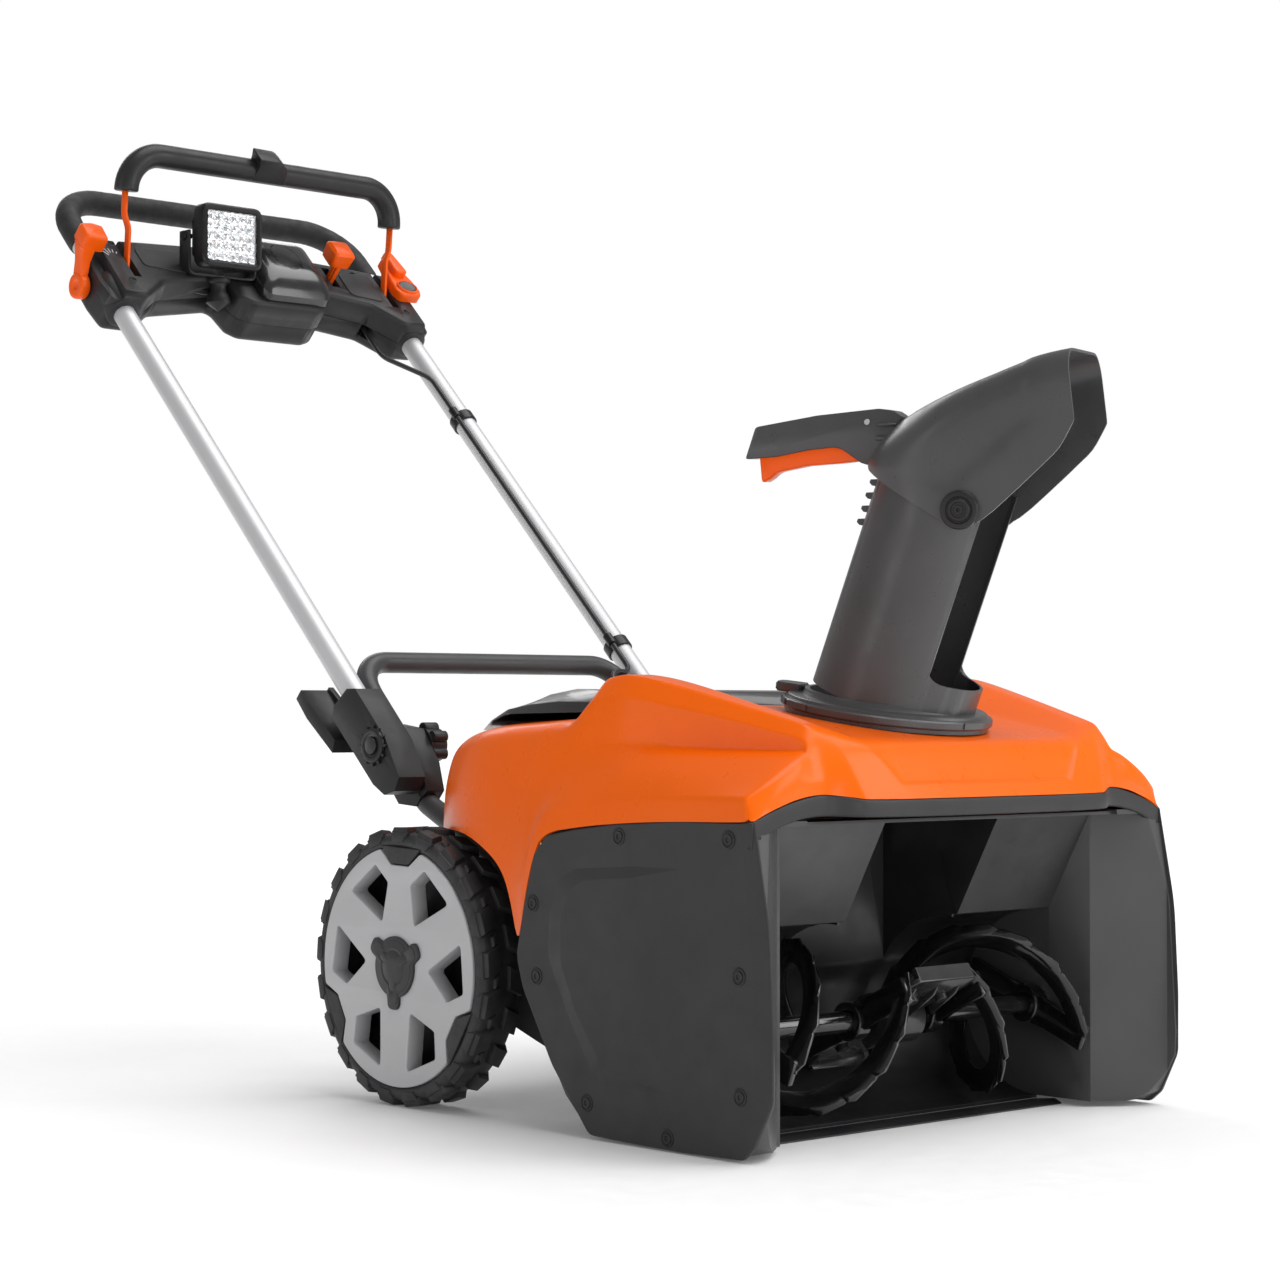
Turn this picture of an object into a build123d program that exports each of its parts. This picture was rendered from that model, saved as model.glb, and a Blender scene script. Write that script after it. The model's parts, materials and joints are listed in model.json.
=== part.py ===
from build123d import *
import math
import os

# Single stage snowblower. Millimetres, +Z up, the intake faces -Y.
# Every piece is drawn with the wheel axle at y = 0, then moved by AXLE_Y on export.
AXLE_Y = -75.66

WIDTH = 560.0
PLATE_T = 4.0
PLATE_OUT = WIDTH / 2
PLATE_IN = PLATE_OUT - PLATE_T

WHEEL_R = 134.0
WHEEL_IN = 226.0
WHEEL_OUT = 275.0
RIM_R = 113.0
AXLE_R = 8.0
AXLE_Z = WHEEL_R

AUGER_Y = -385.0
AUGER_Z = 96.0
AUGER_R = 84.0
AUGER_SHAFT_R = 10.0
SCROLL_R = 90.0
CHAMBER_X = 212.0
FLIGHT_START = 150.0
FLIGHT_PITCH = 235.0
AUGER_PULLEY_R = 58.0
MOTOR_PULLEY_R = 17.0
MOTOR_Y = -232.0
MOTOR_Z = 190.0
MOTOR_R = 43.0
BELT_X = 236.0

CHUTE_ORIGIN = (0.0, -385.0, 389.0)
CHUTE_TILT = 9.0
CHUTE_REST = 28.0
TUBE_R = 76.0
TUBE_LEAN = 11.7
RING_R = 98.0
PIVOT_U = 65.5
PIVOT_H = 186.0

HANDLE_X = 206.0
HANDLE_R = 12.5
HANDLE_RISE = 237.5
LEG_X = 180.0
LEG_R = 11.0
FOLD_Y = 100.0
FOLD_Z = 345.0

BAIL_V = 1053.6
BAIL_W = 8.8
BAIL_R = 13.0

SIDES = {"right": -1, "left": 1}


# ---------------------------------------------------------------- helpers

def box(x0, x1, y0, y1, z0, z1):
    centre = Pos((x0 + x1) / 2, (y0 + y1) / 2, (z0 + z1) / 2)
    return centre * Box(abs(x1 - x0), abs(y1 - y0), abs(z1 - z0))


def rod_x(y, z, radius, x0, x1):
    return Pos((x0 + x1) / 2, y, z) * Rot(0, 90, 0) * Cylinder(radius, abs(x1 - x0))


def plate_yz(points, x0, x1):
    """Flat plate drawn by its (y, z) outline, from x0 to x1."""
    low, high = sorted((x0, x1))
    outline = Polyline(*[(low, y, z) for y, z in points], close=True)
    return extrude(make_face(outline), amount=high - low, dir=(1, 0, 0))


def plate_xy(points, z0, z1):
    outline = Polyline(*[(x, y, z0) for x, y in points], close=True)
    return extrude(make_face(outline), amount=z1 - z0, dir=(0, 0, 1))


def swept(points, radius, bend):
    """Round bar through the points with tangent bends."""
    path = FilletPolyline(*points, radius=bend) if len(points) > 2 else Line(*points)
    section = Plane(origin=path @ 0, z_dir=path % 0) * Circle(radius)
    return sweep(section, path=path)


def turned_x(points, y, z):
    """Solid of revolution about the X direction; points are (x, radius)."""
    profile = Polyline(*[(x, r, 0) for x, r in points], close=True)
    return Pos(0, y, z) * revolve(make_face(profile), Axis.X)


def both(shape):
    return [shape, mirror(shape, about=Plane.YZ)]


def fused(parts):
    total = parts[0]
    for item in parts[1:]:
        total = total + item
    return total


def inset(points, gap):
    """Polygon moved inwards by gap on every side; points run either way round."""
    area = sum(a[0] * b[1] - b[0] * a[1] for a, b in zip(points, points[1:] + points[:1]))
    turn = 1 if area > 0 else -1
    result = []
    for i, p in enumerate(points):
        before = points[i - 1]
        after = points[(i + 1) % len(points)]
        d1 = unit(p[0] - before[0], p[1] - before[1])
        d2 = unit(after[0] - p[0], after[1] - p[1])
        nx, ny = unit(-(d1[1] + d2[1]), d1[0] + d2[0])
        reach = gap / max(0.35, -nx * d1[1] + ny * d1[0])
        result.append((p[0] + turn * nx * reach, p[1] + turn * ny * reach))
    return result


def unit(a, b):
    length = math.hypot(a, b) or 1.0
    return a / length, b / length


# ---------------------------------------------------------------- wheels

def tyre(side):
    outer = turned_x([
        (WHEEL_IN, RIM_R + 1), (WHEEL_OUT - 2, RIM_R + 1), (WHEEL_OUT - 1, 122),
        (WHEEL_OUT - 6, 127.5), (WHEEL_IN + 5, 127.5), (WHEEL_IN, 122),
    ], 0, AXLE_Z)
    lugs = []
    for i in range(20):
        inner = i % 2
        x0 = WHEEL_IN + 1.5 if inner else WHEEL_IN + 24
        x1 = WHEEL_IN + 25 if inner else WHEEL_OUT - 1.5
        block = box(x0, x1, -11, 11, 119, WHEEL_R + 3)
        lugs.append(Pos(0, 0, AXLE_Z) * Rot(i * 18, 0, 0) * block)
    keep = rod_x(0, AXLE_Z, WHEEL_R, WHEEL_IN, WHEEL_OUT)
    body = outer + (fused(lugs) & keep) - rod_x(0, AXLE_Z, RIM_R + 1, WHEEL_IN, WHEEL_OUT)
    return on_side(body, side)


def rim(side):
    dish = turned_x([
        (WHEEL_IN + 2, RIM_R), (WHEEL_OUT - 3, RIM_R), (WHEEL_OUT, RIM_R - 6),
        (WHEEL_OUT - 2, 88), (WHEEL_OUT - 12, 60), (WHEEL_OUT - 8, 34),
        (WHEEL_OUT - 8, AXLE_R + 0.06), (WHEEL_IN, AXLE_R + 0.06), (WHEEL_IN, 20),
        (WHEEL_OUT - 18, 26), (WHEEL_OUT - 17, 60), (WHEEL_OUT - 8, 90),
        (WHEEL_OUT - 9, RIM_R - 5), (WHEEL_IN + 2, RIM_R - 5),
    ], 0, AXLE_Z)
    windows = []
    for i in range(6):
        hole = plate_yz([(-11, 48), (11, 48), (24, 86), (-24, 86)], WHEEL_OUT - 40, WHEEL_OUT + 5)
        windows.append(Pos(0, 0, AXLE_Z) * Rot(i * 60 + 30, 0, 0) * hole)
    return on_side(dish - fused(windows), side)


def wheel_cap(side):
    disc = rod_x(0, AXLE_Z, 27, WHEEL_OUT - 7.6, WHEEL_OUT - 2)
    lobes = [
        Pos(0, 0, AXLE_Z) * Rot(i * 120, 0, 0) * rod_x(0, 27, 9, WHEEL_OUT - 7.6, WHEEL_OUT - 3)
        for i in range(3)
    ]
    pocket = rod_x(0, AXLE_Z, 14, WHEEL_OUT - 8, WHEEL_OUT - 4)
    return on_side(disc + fused(lobes) - pocket, side)


def on_side(shape, side):
    return shape if SIDES[side] > 0 else mirror(shape, about=Plane.YZ)


def rear_axle():
    end = WHEEL_OUT - 4.4
    return rod_x(0, AXLE_Z, AXLE_R, -end, end)


def axle_hardware(side):
    washer = rod_x(0, AXLE_Z, 15, 200.3, WHEEL_IN - 0.3)
    nut = rod_x(0, AXLE_Z, 12.5, WHEEL_OUT - 7.9, WHEEL_OUT - 5)
    return on_side((washer + nut) - rod_x(0, AXLE_Z, AXLE_R + 0.02, 0, 300), side)


# ---------------------------------------------------------------- frame

CHASSIS_OUTLINE = [
    (-288, 40), (-288, 118), (-196, 130), (-176, 240), (-60, 236), (-20, 190),
    (24, 150), (24, 118), (-10, 104), (-120, 66), (-200, 40),
]


def chassis():
    """Welded rear frame: two cheeks, a cross brace and the axle tubes."""
    panel = plate_yz(CHASSIS_OUTLINE, 195, 199)
    flange = box(176, 196, -288, -285, 44, 114)
    hub = rod_x(0, AXLE_Z, 16, 180, 200.2)
    cheeks = fused(both(panel + flange + hub))
    brace = box(-196, 196, -118, -114, 92, 132) + box(-196, 196, -114, -92, 92, 96)
    slot = box(-204, 204, -150, -124, 110, 160)
    return (cheeks + brace) - rod_x(0, AXLE_Z, AXLE_R + 0.05, -300, 300) - slot


def leg_points(sign):
    x = sign * LEG_X
    return [(x, -95, 214), (x, -30, 238), (x, 75, 288), (x, 191, 430)]


def lower_frame():
    right = leg_points(-1)
    left = leg_points(1)
    path = right + left[::-1]
    outer = swept(path, LEG_R, 38)
    return outer - swept(path, LEG_R - 1.6, 38)


# ---------------------------------------------------------------- intake

PLATE_OUTLINE = [
    (-486, 287), (-501, 195), (-508, 73), (-507, 50), (-487, 13), (-472, 4), (-278, 4),
    (-245, 35), (-206, 95), (-187, 135), (-180, 156), (-187, 172), (-194, 207),
    (-205, 240), (-215, 259), (-231, 269), (-265, 274.5), (-313, 280), (-398, 285),
]
PLATE_SCREWS = [
    (-321, 269), (-458, 270), (-206.5, 205), (-212, 139),
    (-470.5, 156), (-279, 32), (-472, 56), (-383, 12),
]


def side_plate(side):
    skin = plate_yz(PLATE_OUTLINE, PLATE_IN, PLATE_OUT)
    step = [(-380, 232), (-262, 226), (-246, 208), (-244, 160), (-262, 96), (-296, 52), (-380, 40)]
    rib = plate_yz(step, PLATE_OUT - 0.5, PLATE_OUT + 1.0)
    rib = rib - plate_yz(inset(step, 9), PLATE_OUT - 2, PLATE_OUT + 2)
    rib = rib - box(PLATE_OUT - 2, PLATE_OUT + 3, -400, -368, 30, 240)
    body = skin + rib
    for y, z in PLATE_SCREWS:
        body = body - rod_x(y, z, 2.6, PLATE_IN - 1, PLATE_OUT + 2)
    return on_side(body, side)


def plate_screws(side):
    screws = []
    for y, z in PLATE_SCREWS:
        head = rod_x(y, z, 5, PLATE_OUT + 0.05, PLATE_OUT + 2.6)
        socket = rod_x(y, z, 2.2, PLATE_OUT + 1.2, PLATE_OUT + 3)
        shank = rod_x(y, z, 2.5, PLATE_IN - 6, PLATE_OUT + 0.1)
        screws.append(on_side(head + shank - socket, side))
    return Compound(children=screws)


def bow_line(gap):
    """Plan line of the bezel: bowed centre between two notches."""
    half = [(PLATE_IN - 0.4, -485.5 + gap), (194, -489 + gap), (166, -510 + gap)]
    return half + [(-x, y) for x, y in reversed(half)]


def front_band():
    front = bow_line(0)
    back = bow_line(4)
    strip = plate_xy(front + back[::-1], 287.5, 302.5)
    tab = plate_yz([(-485.5, 302), (-485.5, 268), (-481, 272), (-481, 302)],
                   PLATE_IN - 4.4, PLATE_IN - 0.4)
    shelf = plate_xy(bow_line(3.5) + [(-240, -472), (240, -472)], 299.5, 302.5)
    shelf = shelf & box(-236, 236, -520, -470, 290, 310)
    return fused([strip, shelf] + both(tab))


def scroll_arc(radius, start, stop, count):
    points = []
    for i in range(count + 1):
        angle = math.radians(start + (stop - start) * i / count)
        points.append((AUGER_Y + radius * math.cos(angle), AUGER_Z + radius * math.sin(angle)))
    return points


def housing_line(radius):
    """Side line of the intake liner: floor, scroll over the auger, shoulder, roof."""
    grow = radius - SCROLL_R
    shoulder = [(-402 + grow, 189), (-452 + grow, 281 + grow)]
    return scroll_arc(radius, -90, 88, 20) + shoulder + [(-478, 281 + grow)]


def side_box():
    """Closed compartment at one end of the auger, covered by the side plate."""
    outer = plate_yz(inset(PLATE_OUTLINE, 1.5), CHAMBER_X, PLATE_IN - 0.1)
    inner = plate_yz(inset(PLATE_OUTLINE, 4.5), CHAMBER_X + 3, PLATE_IN + 2)
    inner = inner - plate_xy([(200, -512), (200, -447.5), (213.8, -447.5), (280, -499), (280, -512)], 0, 300)
    wall = outer - inner
    front = plate_xy([(200, -520), (200, -452), (215.2, -452), (273, -497), (273, -520)], -5, 281)
    body = wall - front
    bosses = [rod_x(y, z, 8, CHAMBER_X + 40, PLATE_IN - 0.1) for y, z in PLATE_SCREWS]
    ring = plate_yz(inset(PLATE_OUTLINE, 1.5), CHAMBER_X, PLATE_IN)
    body = body + fused([boss & ring for boss in bosses])
    for y, z in PLATE_SCREWS:
        body = body - rod_x(y, z, 2.6, PLATE_IN - 10, PLATE_IN + 1)
    body = body - box(PLATE_IN - 6, PLATE_IN + 1, -487, -480.5, 260, 290)
    return body - rod_x(AUGER_Y, AUGER_Z, 17.5, CHAMBER_X - 5, CHAMBER_X + 5)


def throat_duct():
    """Square duct from the auger up to the round throat under the chute."""
    walls = box(-80, 80, -478, -305, 96, 300) - box(-77, 77, -500, -308, 90, 400)
    ahead = plate_yz([(-520, 60), (-395, 60), (-395, 189), (-402, 189), (-452, 284), (-452, 400),
                      (-520, 400)], -100, 100)
    auger_room = rod_x(AUGER_Y, AUGER_Z, SCROLL_R, -100, 100)
    throat = chute_frame() * (Pos(0, 0, -66) * Cylinder(80, 96))
    throat = throat - box(-200, 200, -500, -250, 0, 281)
    lid = box(-80, 80, -452, -305, 281, 284)
    walls = walls - ahead - auger_room - box(-100, 100, -500, -300, 284, 320)
    return walls + throat + lid


def auger_housing():
    inner = housing_line(SCROLL_R)
    outer = housing_line(SCROLL_R + 3)
    liner = plate_yz(inner + outer[::-1], -CHAMBER_X - 1, CHAMBER_X + 1)
    roof = box(-PLATE_IN + 3, PLATE_IN - 3, -478, -440, 281, 284)
    hole = box(-77, 77, -500, -308, 120, 281) - rod_x(AUGER_Y, AUGER_Z, 40, -100, 100)
    body = liner - hole
    bore = chute_frame() * (Pos(0, 0, -80) * Cylinder(77, 160))
    body = body + roof + throat_duct() + fused(both(side_box()))
    mount = rod_x(MOTOR_Y, MOTOR_Z, 14, 180, 230)
    return keep_largest((body - bore) - mount)


def scraper_bar():
    return plate_yz([(-418, 0), (-386, 0), (-386, 2.8), (-410, 5), (-418, 1.5)],
                    -CHAMBER_X + 1, CHAMBER_X - 1)


# ---------------------------------------------------------------- auger and drive

def auger_shaft():
    return rod_x(AUGER_Y, AUGER_Z, AUGER_SHAFT_R, -CHAMBER_X - 8, BELT_X + 12)


def ribbon(start):
    """One helical blade from the centre paddle out to the end of the auger."""
    path = Helix(pitch=FLIGHT_PITCH, height=155, radius=AUGER_R - 13)
    section = Plane(origin=path @ 0, x_dir=(1, 0, 0), z_dir=path % 0) * Rectangle(26, 4)
    coil = sweep(section, path=path, is_frenet=True)
    return Rot(0, 90, 0) * Rot(0, 0, start + 90) * coil


def auger_arm(x, angle):
    blade = box(x - 4, x + 4, -12, 12, -AUGER_R + 7, AUGER_R - 7) + rod_x(0, 0, 18, x - 8, x + 8)
    return Rot(angle - 90, 0, 0) * blade


def auger_flights():
    half = [Pos(47, 0, 0) * ribbon(start) for start in (FLIGHT_START, FLIGHT_START + 180)]
    half.append(auger_arm(50, FLIGHT_START + 4))
    half.append(auger_arm(199, FLIGHT_START + 360 * 152 / FLIGHT_PITCH))
    body = fused(both(fused(half)))
    body = Pos(0, AUGER_Y, AUGER_Z) * body
    return body - rod_x(AUGER_Y, AUGER_Z, AUGER_SHAFT_R + 0.02, -300, 300)


def auger_paddles():
    blades = []
    for turn in (0, 180):
        plate = box(-43, 43, -2.5, 2.5, 20, AUGER_R - 1)
        blades.append(Pos(0, AUGER_Y, AUGER_Z) * Rot(FLIGHT_START - 90 + turn, 0, 0) * plate)
    clamp = rod_x(AUGER_Y, AUGER_Z, 24, -26, 26)
    return fused(blades + [clamp]) - rod_x(AUGER_Y, AUGER_Z, AUGER_SHAFT_R + 0.02, -60, 60)


def paddle_bolts():
    bolts = []
    for turn in (0, 180):
        for x in (-20, 20):
            head = Pos(x, 5.5, 50) * Rot(90, 0, 0) * Cylinder(6.5, 6)
            bolts.append(Pos(0, AUGER_Y, AUGER_Z) * Rot(FLIGHT_START - 90 + turn, 0, 0) * head)
    return Compound(children=bolts)


def auger_bearing(side):
    ring = rod_x(AUGER_Y, AUGER_Z, 17.4, CHAMBER_X - 3, CHAMBER_X + 6)
    return on_side(ring - rod_x(AUGER_Y, AUGER_Z, AUGER_SHAFT_R + 0.06, 0, 300), side)


def pulley(y, z, radius, bore):
    grooved = turned_x([
        (BELT_X - 7, bore), (BELT_X + 7, bore), (BELT_X + 7, radius + 2), (BELT_X + 5, radius + 2),
        (BELT_X + 5, radius - 2), (BELT_X - 5, radius - 2), (BELT_X - 5, radius + 2),
        (BELT_X - 7, radius + 2),
    ], y, z)
    return grooved


def auger_pulley():
    wheel = pulley(AUGER_Y, AUGER_Z, AUGER_PULLEY_R, AUGER_SHAFT_R + 0.02)
    holes = [
        Pos(0, AUGER_Y, AUGER_Z) * Rot(i * 60, 0, 0) * rod_x(0, 38, 10, BELT_X - 9, BELT_X + 9)
        for i in range(6)
    ]
    return wheel - fused(holes)


def motor_pulley():
    """Small pulley with the rotor shaft that carries it."""
    shaft = rod_x(MOTOR_Y, MOTOR_Z, 5, CHAMBER_X - 14, BELT_X)
    return pulley(MOTOR_Y, MOTOR_Z, MOTOR_PULLEY_R, 4) + shaft


def drive_belt():
    """Flat multi-rib belt round both pulleys."""
    dy = MOTOR_Y - AUGER_Y
    dz = MOTOR_Z - AUGER_Z
    far = math.hypot(dy, dz)
    lean = math.degrees(math.atan2(dz, dy))

    def loop(extra):
        r1 = AUGER_PULLEY_R - 1.9 + extra
        r2 = MOTOR_PULLEY_R - 1.9 + extra
        tip = math.degrees(math.acos((r1 - r2) / far))
        big = [(r1 * math.cos(math.radians(a)), r1 * math.sin(math.radians(a))) for a in arc(tip, 360 - tip, 32)]
        small = [(far + r2 * math.cos(math.radians(a)), r2 * math.sin(math.radians(a)))
                 for a in arc(-tip, tip, 16)]
        return plate_yz(big + small, BELT_X - 4.6, BELT_X + 4.6)

    ring = loop(3.2) - loop(0.12)
    return Pos(0, AUGER_Y, AUGER_Z) * Rot(lean, 0, 0) * ring


def arc(start, stop, count):
    return [start + (stop - start) * i / count for i in range(count + 1)]


def motor():
    can = rod_x(MOTOR_Y, MOTOR_Z, MOTOR_R, 104, CHAMBER_X - 0.1)
    fins = [rod_x(MOTOR_Y, MOTOR_Z, MOTOR_R + 3, x, x + 4) for x in range(110, 190, 12)]
    return fused([can] + fins) - rod_x(MOTOR_Y, MOTOR_Z, 12, CHAMBER_X - 16, CHAMBER_X + 1)


def electronics_box():
    case = box(-120, 90, -172, -126, 146, 226)
    fins = [box(x, x + 3, -126, -119, 148, 224) for x in range(-114, 86, 12)]
    return fused([case] + fins)


# ---------------------------------------------------------------- hood and battery bay

# Half sections of the hood from the middle line outwards: y, then (x, z) of the top
# middle, valley edge, crest inner, crest outer, flank top, bulge and lower edge.
HOOD_SECTIONS = [
    (-511, [(0, 322), (112, 322), (136, 320), (152, 316), (160, 312), (164, 308), (166, 304)]),
    (-490, [(0, 350), (142, 350), (176, 348), (199, 342), (212, 334), (254, 318), (275, 304)]),
    (-480, [(0, 353), (144, 354), (184, 356), (206, 347), (220, 337), (262, 320), (278, 304)]),
    (-479, [(0, 353), (144, 354), (184, 356), (206, 347), (220, 337), (262, 320), (279.5, 289)]),
    (-385, [(0, 370), (146, 371), (195, 389), (230, 373), (244, 338), (277, 318), (279.5, 288)]),
    (-300, [(0, 384), (150, 386), (198, 411), (240, 401), (252, 343), (278, 315), (279.5, 282)]),
    (-266, [(0, 389), (150, 391), (198, 413), (240, 402), (256, 346), (278, 308), (279.5, 277.5)]),
    (-243, [(0, 372), (150, 374), (205, 377), (238, 373), (258, 340), (278, 300), (279.5, 277)]),
    (-213, [(0, 371), (150, 373), (208, 376), (241, 371), (260, 336), (278, 290), (279.5, 262)]),
    (-193, [(0, 370), (150, 372), (210, 375), (243, 370), (262, 332), (277, 270), (279.5, 212)]),
    (-184, [(0, 370), (150, 372), (210, 374), (243, 370), (262, 331), (276, 262), (279.5, 173)]),
    (-174, [(0, 369), (150, 371), (210, 373), (243, 369), (262, 330), (276, 258), (279, 173)]),
    (-163, [(0, 369), (150, 371), (210, 372), (243, 368), (262, 329), (275, 278), (278, 226)]),
    (-119, [(0, 367), (150, 369), (210, 370), (242, 366), (260, 328), (271, 288), (274, 251)]),
    (-86, [(0, 366), (150, 367), (208, 368), (239, 363), (255, 326), (261, 291), (263, 268)]),
    (-45, [(0, 362), (150, 362), (202, 361), (227, 351), (238, 318), (240, 292), (240, 269)]),
    (5, [(0, 356), (140, 355), (178, 352), (195, 341), (201, 310), (202, 288), (202, 268)]),
    (42, [(0, 344), (110, 343), (148, 339), (165, 329), (170, 305), (171, 288), (171, 266)]),
]
HOOD_T = 3.2


def full_section(half, gap=0.0, drop=0.0):
    ring = half + [(-x, z) for x, z in reversed(half[1:])]
    if gap:
        ring = inset(ring, gap)
    low = [(x, z - drop) if i in (6, 7) else (x, z) for i, (x, z) in enumerate(ring)]
    return low


def section_face(y, ring):
    return make_face(Polyline(*[(x, y, z) for x, z in ring], close=True))


def hood_loft(gap, drop, trim):
    faces = []
    last = len(HOOD_SECTIONS) - 1
    for i, (y, half) in enumerate(HOOD_SECTIONS):
        place = y + (trim if i == 0 else 0) - (trim if i == last else 0)
        faces.append(section_face(place, full_section(half, gap, drop)))
    return loft(faces, ruled=True)


def hood():
    shell = hood_loft(0, 0, 0) - hood_loft(HOOD_T, 40, HOOD_T)
    opening = chute_frame() * (Pos(0, 0, -40) * Cylinder(82, 120))
    bay = plate_xy([(-206, -239), (206, -239), (206, -110), (196, -50), (160, 8), (-160, 8),
                    (-196, -50), (-206, -110)], 330, 420)
    legs = [swept(leg_points(sign), LEG_R + 1.5, 38) for sign in (-1, 1)]
    legs.append(Pos(CABLE_DROP_X, 42, 300) * Rot(90, 0, 0) * Cylinder(7, 30))
    for cut in [opening, bay] + legs:
        shell = shell - cut
    return keep_largest(shell)


def keep_largest(shape):
    return max(shape.solids(), key=lambda s: s.volume)


LID_SECTIONS = [
    (-231, 219, 377), (-216, 221, 399), (-170, 221, 401), (-130, 219, 396),
    (-90, 214, 386), (-50, 200, 372), (0, 168, 359),
]
HINGE_Y = -229.0
HINGE_Z = 381.5


def lid_ring(half, top, base, gap):
    edge = half - gap
    high = top - gap
    shoulder = high - 0.55 * (high - base)
    points = [(edge, base), (edge - 2, shoulder), (edge - 26, high - 1), (0, high)]
    return points + [(-x, z) for x, z in reversed(points[:-1])]


def lid_base(y):
    return 378.5 - 3.0 * (y + 231) / 231 - 15.0 * max(0, y + 90) / 90


def battery_lid():
    def body(gap, drop):
        faces = []
        for y, half, top in LID_SECTIONS:
            place = min(max(y, LID_SECTIONS[0][0] + gap), LID_SECTIONS[-1][0] - gap)
            base = lid_base(y)
            ring = lid_ring(half, max(top, base + 3), base, gap)
            low = [(x, z - drop) if i in (0, len(ring) - 1) else (x, z) for i, (x, z) in enumerate(ring)]
            faces.append(section_face(place, low))
        return loft(faces, ruled=True)

    skin = body(0, 0) - body(2.6, 10)
    knuckles = []
    for sign in (-1, 1):
        skin = skin - rod_x(HINGE_Y, HINGE_Z, 7.2, sign * 129, sign * 140)
        knuckles.append(box(sign * 120, sign * 129, -230, -222, 380, 390))
        knuckles.append(rod_x(HINGE_Y, HINGE_Z, 2.5, sign * 121, sign * 140.5))
    return keep_largest(skin + fused(knuckles))


def battery_tray():
    outer = box(-163, 163, -206, 2, 252, 352)
    inner = box(-160, 160, -203, -1, 255, 360)
    rib = box(-1.5, 1.5, -203, -1, 255, 330)
    posts = []
    for sign in (-1, 1):
        posts.append(box(sign * 130, sign * 139, -233, -205, 338, 346))
        posts.append(box(sign * 130, sign * 139, -233, -225, 338, HINGE_Z))
        posts.append(rod_x(HINGE_Y, HINGE_Z, 5.5, sign * 130, sign * 139))
    tray = (outer - inner) + rib + fused(posts)
    return tray - rod_x(HINGE_Y, HINGE_Z, 2.56, -150, 150)


def battery(side):
    case = box(6, 154, -192, -14, 255.1, 345)
    grip = box(20, 140, -150, -60, 345, 352)
    hollow = box(32, 128, -138, -72, 344, 349)
    slot = box(-2, 6, -150, -50, 270, 276)
    return on_side((case + grip) - hollow - slot, side)


# ---------------------------------------------------------------- chute

def chute_frame():
    """Origin on the swivel axis at the ring, local +Z up the axis."""
    tilt = math.radians(CHUTE_TILT)
    axis = Vector(0, -math.sin(tilt), math.cos(tilt))
    turn = math.radians(CHUTE_REST)
    aim = Vector(math.sin(turn), -math.cos(turn), 0)
    aim = aim - axis * aim.dot(axis)
    return Plane(origin=CHUTE_ORIGIN, x_dir=aim, z_dir=axis)


def chute_side(points, s0, s1):
    """Prism across the chute drawn by its (u, h) side outline."""
    low, high = sorted((s0, s1))
    outline = Polyline(*[(u, low, h) for u, h in points], close=True)
    return extrude(make_face(outline), amount=high - low, dir=(0, 1, 0))


def lean_plane(h):
    lean = math.radians(TUBE_LEAN)
    return Plane(origin=(4 + h * math.tan(lean), 0, h), x_dir=(math.cos(lean), 0, -math.sin(lean)),
                 z_dir=(math.sin(lean), 0, math.cos(lean)))


def lean_tube(radius, h0, h1):
    length = (h1 - h0) / math.cos(math.radians(TUBE_LEAN))
    return extrude(lean_plane(h0) * Circle(radius), amount=length)


def chute_tube():
    ring = Pos(0, 0, -7.5) * Cylinder(RING_R, 11)
    lip = Pos(0, 0, 0.5) * (Cylinder(90, 6))
    skirt = Pos(0, 0, -22.5) * Cylinder(75.5, 21)
    tab = Pos(-93, 0, -1.5) * Cylinder(15, 13)
    base = ring + lip + skirt + tab
    wall = lean_tube(TUBE_R, 0, 206) & (Pos(0, 0, 148) * Box(500, 300, 296))
    bore_low = Pos(0, 0, -20) * Cylinder(72.5, 44)
    body = (base + wall) - lean_tube(TUBE_R - 3, -8, 240) - bore_low
    front = lean_plane(40)
    slot = front * (Pos(90, 0, 110) * Box(100, 132, 220))
    round_end = front * (Pos(90, 0, 0) * Rot(0, 90, 0) * Box(20, 92, 100))
    body = body - slot - round_end
    teeth = []
    for i in range(4):
        h = 200 - 12.5 * i
        u = -73.6 + h * math.tan(math.radians(TUBE_LEAN))
        teeth.append(chute_side([(u - 6, h - 1), (u + 2, h + 3), (u + 1, h - 6)], -8, 8))
    body = body + fused(teeth)
    body = body - rod_s(PIVOT_U, PIVOT_H, 4.0, -90, 90)
    return body


def rod_s(u, h, radius, s0, s1):
    return Pos(u, (s0 + s1) / 2, h) * Rot(90, 0, 0) * Cylinder(radius, abs(s1 - s0))


DEFLECTOR_OUTLINE = [
    (-42, 214), (-10, 264), (20, 282), (118, 331), (143, 338), (158, 276),
    (147, 249), (86, 178), (66, 166), (50, 174),
]


def deflector_block(gap):
    outline = inset(DEFLECTOR_OUTLINE, gap) if gap else DEFLECTOR_OUTLINE
    if gap:
        outline = outline[:4] + [(190, 362), (190, 250), (120, 160), (60, 120), (-60, 160), (-60, 190)]
    block = chute_side(outline, -79.5 + gap, 79.5 - gap)
    base = lean_plane(120)
    radius = 79.5 - gap
    dome = base * (Pos(-8, 0, 0) * Cylinder(radius, 500))
    ahead = base * (Pos(-8 + 125, 0, 0) * Box(250, 2 * radius, 500))
    return block & (dome + ahead)


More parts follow.
